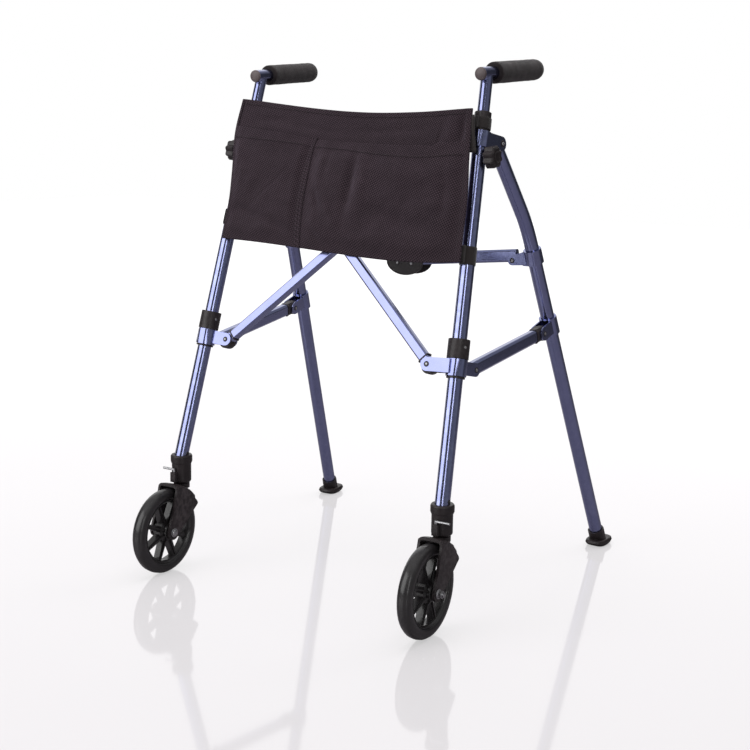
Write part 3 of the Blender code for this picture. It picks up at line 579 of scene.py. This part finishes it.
# Soft folds: place in shares of width and height, degrees, half length, half width and depth in mm.
PANEL_FOLDS = (
    (0.964, 0.855, 87, 24, 7.0, 6.0), (0.918, 0.86, 88, 26, 8.0, -2.4), (0.878, 0.8, 84, 12, 3.0, 2.2),
    (0.15, 0.88, 8, 50, 9.0, 1.6), (0.3, 0.86, -4, 60, 8.0, 1.3), (0.68, 0.87, 4, 70, 9.0, 1.4),
)
LEFT_FOLDS = (
    (0.032, 0.45, 84, 26, 6.0, 3.0), (0.13, 0.185, -15, 52, 10.0, 3.6), (0.08, 0.06, -10, 40, 12.0, -1.8),
    (0.19, 0.4, 44, 40, 2.4, 0.9), (0.255, 0.12, -28, 26, 9.0, 2.2), (0.1, 0.42, 60, 30, 12.0, -1.6),
)
RIGHT_FOLDS = (
    (0.538, 0.45, 83, 50, 9.5, 7.0), (0.588, 0.42, 86, 46, 10.0, -2.4), (0.398, 0.34, 112, 20, 6.0, 3.2),
    (0.458, 0.28, 122, 36, 9.0, -2.6), (0.41, 0.09, 138, 30, 8.0, 3.6), (0.75, 0.25, -9, 62, 13.0, 3.6),
    (0.918, 0.41, 92, 42, 9.0, 3.2), (0.955, 0.42, 90, 46, 7.0, -1.6), (0.64, 0.12, 6, 50, 12.0, -1.8),
    (0.43, 0.56, 80, 22, 7.0, 1.6), (0.8, 0.52, 20, 40, 16.0, -1.8),
)


def smoothstep(t):
    t = min(max(t, 0.0), 1.0)
    return t * t * (3.0 - 2.0 * t)


def rise(t, start, width):
    return smoothstep((t - start) / width)


def bell(t, centre, width):
    return exp(-((t - centre) / width) ** 2)


def fold_depth(a, b, folds):
    """How far the listed folds push the cloth in at a point."""
    depth = 0.0
    for centre_a, centre_b, turn, long, wide, deep in folds:
        right = (a - centre_a) * POUCH_WIDE * 1000.0
        up = (b - centre_b) * POUCH_TALL * 1000.0
        angle = radians(turn)
        along = (right * cos(angle) + up * sin(angle)) / long
        across = (up * cos(angle) - right * sin(angle)) / wide
        depth += deep * 0.001 * exp(-along * along - across * across)
    return depth


def pouch_plane(a, b):
    """A point of the pouch's outline plane from shares of its width and height."""
    left = 0.004 * bell(b, 0.28, 0.12) - 0.018 * bell(b, 0.76, 0.22)
    right = 0.007 * bell(b, 0.4, 0.22)
    a += left * (1.0 - smoothstep(a / 0.25)) + right * rise(a, 0.75, 0.25)
    low = [p + (q - p) * a for p, q in zip(POUCH_LEFT_LOW, POUCH_RIGHT_LOW)]
    top = [p + (q - p) * a for p, q in zip(POUCH_LEFT_TOP, POUCH_RIGHT_TOP)]
    x, up = (p + (q - p) * b for p, q in zip(low, top))
    inside = min(max(a, 0.0), 1.0)
    sag = TOP_SAG * sin(pi * inside ** 1.15) * rise(b, 0.55, 0.45)
    sag += LOW_SAG * sin(pi * inside ** 2.0) * max(1.0 - b / 0.7, 0.0) ** 1.4
    return x, up - sag


def seam_at(b):
    """Where the band between the two pockets starts at a height."""
    return 0.318 + (0.18 if b > 0.3 else 0.12) * (b - 0.3) ** 2


def seam_end(b):
    """Where that band ends, narrowing towards its top."""
    return seam_at(b) + SEAM_WIDE * (1.0 - 0.45 * rise(b, 0.45, 0.3))


def left_top(a):
    """Height of the left pocket's top edge."""
    return 0.804 - 0.12 * a


def left_hem(a):
    """Height of the stitch line under the left pocket's top edge."""
    return 0.724 - 0.062 * a


def right_top(a):
    """Height of the right pocket's top edge, which dips and then climbs to its right end."""
    dip = 0.015 * rise(a, 0.374, 0.4)
    climb = 0.028 * rise(a, 0.855, 0.035) + 0.022 * rise(a, 0.93, 0.07)
    return 0.756 - dip + climb


def right_hem(a):
    """Height of the stitch line under the right pocket's top edge."""
    return 0.694 - 0.041 * rise(a, 0.374, 0.4) + 0.038 * rise(a, 0.8, 0.2)


def crumple(a, b, size):
    """Soft wrinkles of the cloth."""
    spot = Vector((a * 5.2, b * 3.4, 1.7))
    return size * (noise.noise(spot) + 0.45 * noise.noise(spot * 2.3) + 0.2 * noise.noise(spot * 5.1))


def panel_front(a, b):
    """How far the back panel stands in front of the legs' plane."""
    edge = smoothstep(a / 0.04) * smoothstep((1.0 - a) / 0.02)
    soft = 0.0012 * bell(b, 0.9, 0.25) + crumple(a, b, 0.001)
    if b > 0.7:
        bare = rise(b, 0.7, 0.06) * smoothstep((1.03 - b) / 0.1)
        soft -= fold_depth(a, b, PANEL_FOLDS) * bare
    return PANEL_AT + 0.0004 + edge * soft


def pocket_front(a, b, start, end, top, depth, folds):
    """How far a pocket's cloth stands in front of the legs' plane."""
    share = (a - start) / (end - start)
    up = b / top
    hold = smoothstep(share / 0.1) * smoothstep((1.0 - share) / 0.1) * smoothstep(up / 0.14)
    full = depth * (0.45 + 0.55 * smoothstep(up * 1.4)) * (1.0 - 0.55 * rise(up, 0.72, 0.28))
    stand = hold * (full + crumple(a, b, 0.0022) - fold_depth(a, b, folds))
    return panel_front(a, min(b, 0.74)) + POCKET_GAP + max(stand, -0.001)


def left_front(a, b):
    gape = 0.0016 * bell(a, 0.2, 0.12) * smoothstep((b / left_top(a) - 0.75) / 0.25)
    return pocket_front(a, b, 0.006, seam_at(b), left_top(a), 0.006, LEFT_FOLDS) + gape


def right_front(a, b):
    base = pocket_front(a, b, seam_end(b), 0.985, right_top(a), 0.0088, RIGHT_FOLDS)
    gape = 0.0046 * bell(a, 0.79, 0.1) * smoothstep((b / right_top(a) - 0.74) / 0.26)
    return base + gape


def band_front(a, b):
    """The band between the pockets: a strip sewn down along both edges and its middle."""
    across = (a - seam_at(b)) / max(seam_end(b) - seam_at(b), 0.001)
    quilt = 0.0008 * (1.0 - bell(across, 0.06, 0.1) - bell(across, 0.5, 0.1) - bell(across, 0.94, 0.1))
    return panel_front(a, min(b, 0.74)) + POCKET_GAP + quilt


def pouch_point(a, b, front, lift=0.0):
    x, up = pouch_plane(a, b)
    return FRONT @ Vector((x, -(front(a, b) + lift), up))


def cloth_piece(name, left_edge, right_edge, low_edge, top_edge, columns, rows, front,
                thick=CLOTH_THICK, lift=0.0):
    """A sheet over the pouch between four edges, with its thickness and cloth coordinates."""
    shape = bmesh.new()
    layer = shape.loops.layers.uv.new("cloth")
    grid = []
    flat = {}
    for v in steps(0.0, 1.0, rows):
        line = []
        rough_b = low_edge(0.5) + (top_edge(0.5) - low_edge(0.5)) * v
        for a in steps(left_edge(rough_b), right_edge(rough_b), columns):
            b = low_edge(a) + (top_edge(a) - low_edge(a)) * v
            vert = shape.verts.new(pouch_point(a, b, front, lift))
            flat[vert] = (a * POUCH_WIDE, b * POUCH_TALL)
            line.append(vert)
        grid.append(line)
    for low, high in zip(grid, grid[1:]):
        for i in range(columns):
            face = shape.faces.new((low[i], low[i + 1], high[i + 1], high[i]))
            for loop in face.loops:
                loop[layer].uv = flat[loop.vert]
    made = linked(name, shape, CLOTH)
    made.data.shade_smooth()
    modify(made, "SOLIDIFY", thickness=thick, offset=1.0)
    modify(made, "BEVEL", width=thick * 0.3, segments=2, limit_method="ANGLE", angle_limit=radians(60))
    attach(made, "right_side")
    return made


def constant(value):
    return lambda _: value


STITCH = ((-0.0014, 0.00008), (-0.001, 0.00026), (0.0, 0.00034), (0.001, 0.00026), (0.0014, 0.00008))
STITCH_PITCH = 0.004


def stitches(name, lines):
    """Short raised threads along lines of (a, b) on a cloth surface; each line has its own surface."""
    shapes = []
    out = (FRONT.to_3x3() @ Vector((0, -1, 0))).normalized()
    for front, lift, way in lines:
        points = [pouch_point(a, b, front, lift) for a, b in way]
        length = sum((q - p).length for p, q in zip(points, points[1:]))
        count = max(2, int(length / STITCH_PITCH))
        for i in range(count):
            at = length * (i + 0.5) / count
            for p, q in zip(points, points[1:]):
                step = (q - p).length
                if at <= step:
                    break
                at -= step
            ahead = (q - p).normalized()
            side = ahead.cross(out).normalized()
            turn = Matrix((side, out, ahead)).transposed().to_4x4()
            thread = loft([[(r * cos(k * pi / 3), r * sin(k * pi / 3), z)
                            for k in range(6)] for z, r in STITCH])
            thread.transform(Matrix.Translation(p + ahead * at) @ turn)
            shapes.append(thread)
    return piece(name, joined(shapes), Matrix(), "right_side", THREAD, "pouch_fabric")


def line_of(a0, a1, b_of, count=60):
    return [(a, b_of(a)) for a in steps(a0, a1, count)]


def post_of(a_of, b0, b1, offset=0.0):
    return [(a_of(b) + offset, b) for b in steps(b0, b1, 40)]


def top_roll(a, b):
    """The back panel's surface, rising a little towards its rolled top edge."""
    return panel_front(a, b) + 0.0004 * bell(b, 0.996, 0.012)


def left_end(b):
    """Where the left pocket runs under the band, and right_start where the right one comes out."""
    return seam_at(b) + 0.004


def right_start(b):
    return seam_end(b) - 0.004


def pouch_layers():
    """Each layer's left, right, low and top edges, grid, surface, thickness and lift."""
    start, end, low, top = (constant(share) for share in (0.0, 1.0, 0.0, 1.0))
    left_start, right_end, foot = (constant(share) for share in (0.006, 0.985, 0.003))
    thick = over = CLOTH_THICK
    return (
        ("back", start, end, low, top, 160, 88, panel_front, thick, 0.0),
        ("left_pocket", left_start, left_end, foot, left_top, 64, 84, left_front, thick, 0.0),
        ("right_pocket", right_start, right_end, foot, right_top, 130, 84, right_front, thick, 0.0),
        ("left_hem", left_start, left_end, left_hem, lambda a: left_top(a) + OVERLAP,
         64, 10, left_front, HEM_THICK, over),
        ("right_hem", right_start, right_end, right_hem, lambda a: right_top(a) + OVERLAP,
         130, 10, right_front, HEM_THICK, over),
        ("top_hem", start, end, constant(0.968), constant(1.002), 160, 5, top_roll, 0.0005, over),
        ("seam_band", seam_at, seam_end, low, constant(0.772), 12, 70, band_front, 0.0016, 0.0008),
        ("left_edge", start, constant(0.011), low, top, 4, 88, panel_front, 0.002, over),
        ("right_edge", constant(0.981), end, low, top, 5, 88, panel_front, 0.003, over),
    )


def stitch_lines():
    """Each stitch line's surface, its lift and its way over the pouch."""
    over = CLOTH_THICK
    pocket = over + 0.0009
    band = 0.0026
    return (
        (left_front, pocket, line_of(0.012, 0.318, lambda a: left_hem(a) + 0.006)),
        (right_front, pocket, line_of(0.372, 0.975, lambda a: right_hem(a) + 0.006, 90)),
        (band_front, band, post_of(seam_at, 0.01, SEAM_TOP, 0.0016)),
        (band_front, band, post_of(lambda b: 0.5 * (seam_at(b) + seam_end(b)), 0.01, SEAM_TOP)),
        (band_front, band, post_of(seam_end, 0.01, SEAM_TOP, -0.0016)),
        (panel_front, over + 0.0022, post_of(constant(0.0085), 0.01, 0.99)),
        (panel_front, over + 0.0032, post_of(constant(0.984), 0.01, 0.99)),
        (panel_front, over + 0.0008, line_of(0.02, 0.975, constant(0.972), 90)),
    )


def build_pouch():
    """The back panel, two pockets, their hems, the band between them, edge binding and stitching."""
    made = {name: cloth_piece(f"pouch_{name}", *layer) for name, *layer in pouch_layers()}
    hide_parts("pouch_panel")
    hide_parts("pouch_pocket_left")
    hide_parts("pouch_pocket_right")
    threads = stitches("pouch_stitching", stitch_lines())
    return [*made.values(), threads]


# ---- straps

# Side, place, low edge along the leg, height and the loop's radius.
STRAPS = (
    ("right", "upper", 0.8262, 0.019, 0.0148), ("right", "lower", 0.5998, 0.03, 0.013),
    ("left", "upper", 0.8262, 0.019, 0.0148), ("left", "lower", 0.64, 0.027, 0.013),
)
STRAP_SWELL = 0.01
TAIL_WIDE = 0.0128
TAIL_DROP = 0.0615
TAIL_TOP = Vector((0.2211, -0.0262, 0.843))
STRAP_THICK = 0.001


def strap_line(radius):
    """The strap's way seen along the leg: from the pouch, once round the leg and back."""
    line = [(-0.0012, -0.0208), (-0.0016, -radius - 0.0026)]
    for angle in steps(-96.0, -444.0, 40):
        turn = radians(angle)
        line.append((radius * cos(turn), radius * sin(turn)))
    return line + [(0.0012, -radius - 0.003), (0.001, -0.0208)]


def webbing_sheet(name, rows, matrix, side, sign):
    """A thin strip of webbing on a side's body."""
    made = piece(name, loft(rows, closed=False), matrix, f"{side}_side", TAPE, "pouch_fabric", sign, 60.0)
    modify(made, "SOLIDIFY", thickness=STRAP_THICK, offset=0.0)
    return made


def build_straps():
    """The webbing straps that hold the pouch to the legs, wrapped round them."""
    for side, name, low, tall, radius in STRAPS:
        line = strap_line(radius)
        rows = []
        for share in steps(0.0, 1.0, 8):
            swell = STRAP_SWELL * sin(share * pi)
            rows.append([(x + swell * x, y + swell * y, low + tall * share) for x, y in line])
        sign = 1.0 if side == "right" else -1.0
        made = webbing_sheet(f"{side}_{name}_webbing", rows, leg_frame() @ front_twist(), side, sign)
        modify(made, "BEVEL", width=0.0003, segments=2)
        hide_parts(f"{side}_{name}_strap")


def build_tail():
    """The loose webbing tail that hangs beside the pouch's right edge."""
    rows = []
    for share in steps(0.0, 1.0, 12):
        back = 0.006 * smoothstep(share) - 0.0012 * sin(share * pi)
        line = []
        for across in steps(0.0, 1.0, 4):
            swell = 0.0006 * sin(across * pi)
            offset = Vector((0.0105 * share + TAIL_WIDE * across, back + swell, -TAIL_DROP * share))
            line.append(FRONT @ (TAIL_TOP + offset))
        rows.append(line)
    made = webbing_sheet("pouch_right_tail", rows, Matrix(), "right", 1.0)


build_straps()
POUCH = build_pouch()
build_tail()
dress_nodes()
for part in POUCH:
    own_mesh(part)


# ---- rivets, plugs and screws

TRIM = {}


def put(shape, matrix, body, kind, side=1.0):
    """Collects small shapes by body and material, so that each pair becomes one object."""
    place(shape, matrix, side)
    TRIM.setdefault((body, kind), []).append(shape)


# Profiles are (radius, height) about a small part's own axis.
STOP_WELL = ((0.002, -0.0006), (0.004, -0.0006), (0.004, 0.0003), (0.0034, 0.0007),
             (0.0026, 0.0003), (0.002, 0.0001))
LEG_BOLT = ((0.0, -0.0008), (0.0022, -0.0008), (0.0022, 0.0001), (0.0016, 0.0004), (0.0, 0.0005))
HINGE_SHANK = ((0.0, -0.0163), (0.0038, -0.0163), (0.0038, 0.0163), (0.0, 0.0163))
KNOB_CAP = ((0.0, 0.0352), (0.0094, 0.0352), (0.0094, 0.0364), (0.0086, 0.0369), (0.008, 0.0366),
            (0.0074, 0.0362), (0.003, 0.0366), (0.0, 0.0367))
KNOB_NECK = ((0.005, 0.0125), (0.0078, 0.0125), (0.0082, 0.0132), (0.0082, 0.0158), (0.007, 0.0168),
             (0.005, 0.0168))
WHEEL_BOSS = ((0.006, 0.0148), (0.0112, 0.0148), (0.0118, 0.014), (0.0122, 0.01), (0.0148, 0.0094),
              (0.006, 0.009))
WHEEL_RING = ((0.0534, 0.006), (0.0538, 0.0078), (0.0566, 0.0106), (0.0576, 0.01), (0.056, 0.0078))
AXLE_WASHER = ((0.0044, 0.0227), (0.0078, 0.0227), (0.008, 0.0231), (0.0078, 0.0236), (0.0044, 0.0236))
AXLE_TIP = ((0.0, 0.032), (0.0036, 0.032), (0.0036, 0.0327), (0.0029, 0.0332), (0.0, 0.0334))
AXLE_HEAD = ((0.0, 0.026), (0.0054, 0.026), (0.0051, 0.0266), (0.0036, 0.0271), (0.0, 0.0273))
# A spoke's rib: radius, half width, base and height. Sleeves: height along Z and growth.
SPOKE_RIB = ((0.014, 0.0022, 0.0086, 0.0122), (0.021, 0.0018, 0.0056, 0.009), (0.052, 0.0016, 0.0056, 0.008))
LINK_LIP = ((-0.0015, 0.0), (-0.001, 0.0008), (0.001, 0.0008), (0.0015, 0.0))
BRACE_PLUG = ((-0.0098, -0.0004), (-0.0092, 0.0), (0.019, 0.0), (0.0195, 0.001), (0.0222, 0.001),
              (0.0227, 0.0002))
BAR_LID = ((-0.0066, -0.0006), (-0.0062, 0.0), (-0.0052, 0.0))
# How far rivets sit from the middle of the plates they hold.
LINK_REACH = 0.0112
BRACE_REACH = 0.0118
BAR_REACH = 0.0102
HUB_REACH = 0.0186
HINGE_REACH = 0.0157
STOP_SCREW_UP = 0.4655
LEG_BOLT_UP = 0.2185


def dome(radius=0.0028, height=0.0013):
    """A rivet's head with a pressed dimple, sitting on the XY plane."""
    return turned([(0.0, -0.0004), (radius, -0.0004), (radius, 0.0002), (radius * 0.9, height * 0.62),
                   (radius * 0.62, height), (radius * 0.4, height), (radius * 0.3, height * 0.72),
                   (0.0, height * 0.66)], 24)


def eyelet(radius=0.0047, bore=0.0026):
    """The dark washer round a rivet's head."""
    return turned([(bore, -0.0003), (radius, -0.0003), (radius, 0.0003), (radius * 0.94, 0.0007),
                   (bore + 0.0005, 0.0007), (bore, 0.0003)], 28)


def knuckle(radius, half):
    """A round-edged plastic disc between two ears, its axis along Z."""
    cut = 0.0012
    edge = [(radius - cut, half), (radius - cut * 0.3, half - cut * 0.3), (radius, half - cut)]
    low = [(r, -z) for r, z in edge]
    return turned([(0.0, -half), *low, *edge[::-1], (0.0, half)], 40)


def rounded_box(wide, deep, cut):
    """Corner points of a box section with cut corners."""
    a, b = wide / 2.0, deep / 2.0
    half = [(a, b - cut), (a - cut, b), (cut - a, b), (-a, b - cut)]
    return half + [(-x, -y) for x, y in half]


def sleeve(wide, deep, cut, levels):
    """A box-shaped sleeve along Z; levels are (height, growth)."""
    corners = rounded_box(wide, deep, cut)
    return loft([[(x * (1 + grow / wide * 2), y * (1 + grow / deep * 2), z) for x, y in corners]
                 for z, grow in levels])


def both_faces(shape_of, matrix, reach, body, kind, side):
    """The same small part on both faces of a pair of plates, outward along local Y."""
    put(shape_of(), matrix @ shift(y=-reach) @ AGAINST_Y, body, kind, side)
    put(shape_of(), matrix @ shift(y=reach) @ ALONG_Y, body, kind, side)


def rivet_pair(matrix, reach, body, side):
    both_faces(dome, matrix, reach + 0.0004, body, "rivets", side)
    both_faces(eyelet, matrix, reach, body, "eyelets", side)


def link_joints():
    """Rivets through the clamps' ears, and the knuckles on the links' ends."""
    for side, sign in SIDES:
        for height, body, layer in ((LINK_UPPER, f"{side}_side", sign * LINK_LAYER),
                                    (LINK_LOWER, f"{side}_slider", -sign * LINK_LAYER)):
            pin = leg_frame(height) @ front_twist() @ shift(-LINK_INSET, layer)
            rivet_pair(pin, LINK_REACH, body, sign)
    for body, sign in (("front_link", -1.0), ("rear_link", 1.0)):
        for end, outward in ((0.0, -1.0), (link_length(), 1.0)):
            pin = link_frame(sign) @ shift(z=end + outward * 0.003)
            put(knuckle(0.0136, 0.0083), pin @ ALONG_Y, body, "knuckles")
            lip = sleeve(0.0205, 0.0162, 0.003, LINK_LIP)
            put(lip, link_frame(sign) @ shift(z=end - outward * 0.014), body, "knuckles")


def brace_joints():
    """Rivets and plugs of the side braces."""
    for side, sign in SIDES:
        slider = leg_frame(*BRACE_FRONT) @ TURN_X
        rivet_pair(slider, BRACE_REACH, f"{side}_slider", sign)
        bracket = rear_frame(BRACKET_UP) @ shift(0.0, *BRACE_REAR) @ TURN_X
        rivet_pair(bracket, BRACE_REACH, f"{side}_back_leg", sign)
        body = f"{side}_brace"
        put(knuckle(0.0128, 0.0089), brace_frame() @ ALONG_X, body, "knuckles", sign)
        put(sleeve(0.0178, 0.0243, 0.0042, BRACE_PLUG), brace_frame(), body, "knuckles", sign)


def hinge_pieces():
    """The rear legs' top hinges: a plug in the tube's end and a riveted pin."""
    for side, sign in SIDES:
        body = f"{side}_side"
        pin = leg_frame(*HINGE) @ TURN_X
        put(turned(HINGE_SHANK, 20), pin @ AGAINST_Y, body, "hinge_pin", sign)
        both_faces(lambda: dome(0.0033, 0.0018), pin, HINGE_REACH + 0.0005, body, "hinge_pin", sign)
        both_faces(lambda: eyelet(0.006, 0.003), pin, HINGE_REACH, body, "eyelets", sign)
        top = side_frame() @ shift(0.0, *REAR_TOP)
        put(knuckle(0.0134, 0.0121), top @ ALONG_X, f"{side}_back_leg", "knuckles", sign)


def bar_joints():
    """Rivets of the rear cross bar at the brackets and at the hub, and the bar's closed ends."""
    for side, sign in SIDES:
        pin = bar_frame(-sign * BAR_LAYER)
        rivet_pair(pin, BAR_REACH, f"{side}_back_leg", sign)
        lid = sleeve(0.0228, 0.0138, 0.0034, BAR_LID)
        put(lid, pin @ shift(x=BAR_RISE), f"{side}_bar", "bar_ends", sign)
    for x in (BAR_IN.x, -BAR_IN.x):
        rivet_pair(shift(x, BAR_IN.y, BAR_IN.z), HUB_REACH, "hub", 1.0)


def hub_rim():
    """A raised rim on each face of the hub."""
    wide, tall, narrow, high = 0.0386, 0.0246, 0.0016, 0.0009
    for direction in (-1.0, 1.0):
        rows = []
        low = direction * 0.0184
        top = low + direction * high
        for angle in steps(pi, 2.0 * pi, 24):
            (x0, z0), (x1, z1) = (((wide - grow) * cos(angle), 0.002 + (tall - grow) * sin(angle))
                                  for grow in (0.0, narrow))
            rows.append([(x0, low, z0), (x0 * 0.985, top, z0), (x1, top, z1), (x1, low, z1)])
        put(loft(rows), shift(0.0, BAR_IN.y, BAR_IN.z), "hub", "hub_rim")


def leg_screws():
    """The stop collars' screws and the bolts that hold the caster fittings in the legs."""
    for side, sign in SIDES:
        body = f"{side}_side"
        aside = radians(-20.0 if sign > 0 else -160.0)
        spot = leg_frame(STOP_SCREW_UP) @ spin(aside, "Z") @ ALONG_X @ shift(z=0.0175)
        put(turned(STOP_WELL, 24), spot, body, "eyelets", sign)
        put(dome(0.0022, 0.0007), spot, body, "rivets", sign)
        outside = spin(0.0 if sign > 0 else pi, "Z")
        bolt = leg_frame(LEG_BOLT_UP) @ outside @ ALONG_X @ shift(z=0.012)
        put(eyelet(0.0036, 0.002), bolt, body, "screws", sign)
        put(turned(LEG_BOLT, 16), bolt, body, "screws", sign)


def knob_details():
    """A domed cap with a ring in the knob's face, and the screw's collar."""
    for side, sign in SIDES:
        base = leg_frame(KNOB_AT) @ ALONG_X
        put(turned(KNOB_CAP, 32), base, f"{side}_knob", "knob_cap", sign)
        put(turned(KNOB_NECK, 24), base, f"{side}_knob", "knob_cap", sign)


def wheel_details():
    """Raised ribs and rings on both faces of each rim."""
    for side, sign in SIDES:
        body = f"{side}_wheel"
        for turn_over in (0.0, pi):
            face = Matrix.Translation(AXLE) @ ALONG_X @ spin(turn_over, "X")
            for i in range(8):
                rib = loft([[(r, -w, low), (r, -w * 0.55, h), (r, w * 0.55, h), (r, w, low)]
                            for r, w, low, h in SPOKE_RIB])
                spoke = spin(pi / 8.0 * (2 * i + 1), "Z")
                put(rib, face @ spoke, body, "rim_ribs", sign)
            put(turned(WHEEL_BOSS, 36), face, body, "rim_ribs", sign)
            put(hoop(WHEEL_RING, 72), face, body, "rim_ribs", sign)


def axle_details():
    """Washers outside the fork plates, the bolt's tip on its nut and its domed head."""
    outer = Matrix.Translation(AXLE) @ ALONG_X
    inner = outer @ spin(pi, "X")
    for side, sign in SIDES:
        body = f"{side}_caster"
        for base in (outer, inner):
            put(hoop(AXLE_WASHER, 32), base, body, "axle_trim", sign)
        put(turned(AXLE_TIP, 20), outer, body, "axle_trim", sign)
        put(turned(AXLE_HEAD, 24), inner, body, "axle_trim", sign)


TRIM_LOOKS = {
    "rivets": (STEEL, "steel"), "hinge_pin": (STEEL, "steel"), "axle_trim": (STEEL, "steel"),
    "bar_ends": (END_METAL, "blue_metal"), "eyelets": (PLASTIC, "black_plastic"),
    "knuckles": (PLASTIC, "black_plastic"), "hub_rim": (PLASTIC, "black_plastic"),
    "knob_cap": (PLASTIC, "black_plastic"), "screws": (SCREW, "steel"), "rim_ribs": (WHEEL, "wheel_plastic"),
}


def build_trim():
    for maker in (link_joints, brace_joints, hinge_pieces, bar_joints, hub_rim, leg_screws, knob_details,
                  wheel_details, axle_details):
        maker()
    for (body, kind), shapes in TRIM.items():
        made = piece(f"{body}_{kind}", joined(shapes), Matrix(), body, *TRIM_LOOKS[kind])
        if kind == "hinge_pin":
            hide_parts(body.replace("side", "top_hinge_pin"))


GRIP_RADIUS = 0.0184
GRIP_START = ((0.0114, 0.0206), (0.0158, 0.02), (0.0176, 0.0208), (0.0182, 0.0226))
GRIP_END = ((0.0181, 0.16), (0.0176, 0.1648), (0.0165, 0.1682), (0.0147, 0.1702), (0.012, 0.1712),
            (0.0078, 0.1718), (0.003, 0.172))


def build_grips():
    """Foam grips: a slightly swollen sleeve with a rounded blind end and soft dents."""
    middle = [(0.0182 + 0.0001 * sin(i * 1.7), 0.025 + i * 0.0058) for i in range(24)]
    profile = [*GRIP_START, *middle, *GRIP_END]
    for side, sign in SIDES:
        rows = []
        for index, (radius, z) in enumerate(profile):
            dented = 2 < index < len(profile) - 5
            row = []
            for i in range(48):
                angle = 2.0 * pi * i / 48
                x, y = cos(angle), sin(angle)
                dent = 0.00035 * noise.noise(Vector((x * 1.2, y * 1.2, z * 38.0))) if dented else 0.0
                r = min(radius + dent, GRIP_RADIUS)
                row.append((r * x, r * y, z))
            rows.append(row)
        made = piece(f"{side}_foam_grip", loft(rows), handle_frame(), f"{side}_handle", FOAM,
                     "grip_foam", sign, 60.0)
        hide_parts(f"{side}_hand_grip")


build_trim()
build_grips()


# ---- camera, floor and light

AMBIENT = 0.06
# Bright parts of the surroundings: direction, cosines where the light ends and is full, and its strength.
WALLS = (
    ((0.0, 0.0, 1.0), 0.35, 0.9, 0.5),
    ((-0.62, 0.78, 0.2), 0.7, 0.92, 0.9),
    ((1.0, 0.0, 0.1), 0.72, 0.96, 0.2),
)
# Soft boxes: name, place, height aimed at, size, watts and whether they are seen in reflections.
SOFT_BOXES = (
    ("key", (-1.45, -2.6, 1.5), 0.5, (2.5, 2.4), 46.0, True),
    ("strip", (1.93, -2.3, 1.2), 0.5, (0.55, 1.8), 11.0, True),
    ("back", (0.6, 2.8, 2.2), 0.4, (2.6, 1.6), 50.0, False),
    ("top", (0.0, -0.3, 3.2), 0.4, (2.4, 2.4), 45.0, False),
)
FLOOR_GLOW = 0.52
FLOOR_FAR_GLOW = 0.58


def build_camera():
    """The photograph's viewpoint, solved from mirrored points of the two sides."""
    right = Vector((0.84546, 0.53381, 0.01564))
    up = Vector((-0.09174, 0.11633, 0.98896))
    back = Vector((0.5261, -0.83756, 0.14732))
    spot = Vector((1.2221, -1.9706, 0.7922))
    turn = Matrix((right, up, back)).transposed().to_4x4()
    data = bpy.data.cameras.new("camera")
    data.sensor_width = 36.0
    data.lens = 61.73
    data.shift_x = 0.006
    data.shift_y = -0.071
    made = bpy.data.objects.new("camera", data)
    made.matrix_world = Matrix.Translation(spot) @ turn
    SCENE.collection.objects.link(made)
    SCENE.camera = made


def build_floor():
    """A wide pale floor with a faint gloss that brightens into the white surroundings."""
    corners = ((-9, -9), (9, -9), (9, 9), (-9, 9))
    shape = loft([[(x, y, z) for x, y in corners] for z in (-0.02, -0.0002)])
    look = Look("studio_floor", (0.25, 0.228, 0.245), roughness=0.06, specular=0.8)
    apart = look.node("ShaderNodeSeparateXYZ", {"Vector": look.place})
    squares = [look.math("POWER", apart.outputs[axis], 2.0) for axis in "XY"]
    out = look.math("SQRT", look.math("ADD", *squares))
    look.use("Roughness", look.fit(look.noise(3.0, 3.0), 0.3, 0.7, 0.05, 0.08))
    look.use("Emission Color", (1.0, 1.0, 1.0))
    seen = look.node("ShaderNodeLightPath").outputs["Is Camera Ray"]
    glow = look.fit(out, 1.0, 3.2, FLOOR_GLOW, FLOOR_FAR_GLOW)
    look.use("Emission Strength", look.math("MULTIPLY", glow, seen))
    linked("floor", shape, look.made)


def soft_box(name, spot, aim_up, size, power, mirrored):
    data = bpy.data.lights.new(name, "AREA")
    data.shape = "RECTANGLE"
    data.size, data.size_y = size
    data.energy = power
    made = bpy.data.objects.new(name, data)
    turn = (Vector((0, 0, aim_up)) - Vector(spot)).to_track_quat("-Z", "Y").to_matrix().to_4x4()
    made.matrix_world = Matrix.Translation(spot) @ turn
    made.visible_glossy = mirrored
    SCENE.collection.objects.link(made)


def wall_of_light(graph, way, low, high, level):
    """Light from the surroundings round one direction, fading from the cosine high to low."""
    spot = graph.node("ShaderNodeTexCoord").outputs["Generated"]
    turn = graph.node("ShaderNodeVectorMath", {0: spot, 1: Vector(way).normalized()}, operation="DOT_PRODUCT")
    return graph.fit(turn.outputs["Value"], low, high, 0.0, level, "SMOOTHSTEP")


def build_light():
    """White surroundings that light the walker dimly, brighter above and behind, and soft boxes."""
    world = bpy.data.worlds.new("studio")
    world.use_nodes = True
    graph = Graph(world.node_tree)
    sky = graph.nodes["Background"]
    graph.feed(sky.inputs["Color"], (1.0, 1.0, 1.0))
    light = AMBIENT
    for wall in WALLS:
        light = graph.math("ADD", wall_of_light(graph, *wall), light)
    seen = graph.node("ShaderNodeLightPath").outputs["Is Camera Ray"]
    graph.feed(sky.inputs["Strength"], graph.fit(seen, 0.0, 1.0, light, 1.0))
    SCENE.world = world
    SCENE.view_settings.view_transform = "Standard"
    for settings in SOFT_BOXES:
        soft_box(*settings)


build_camera()
build_floor()
build_light()
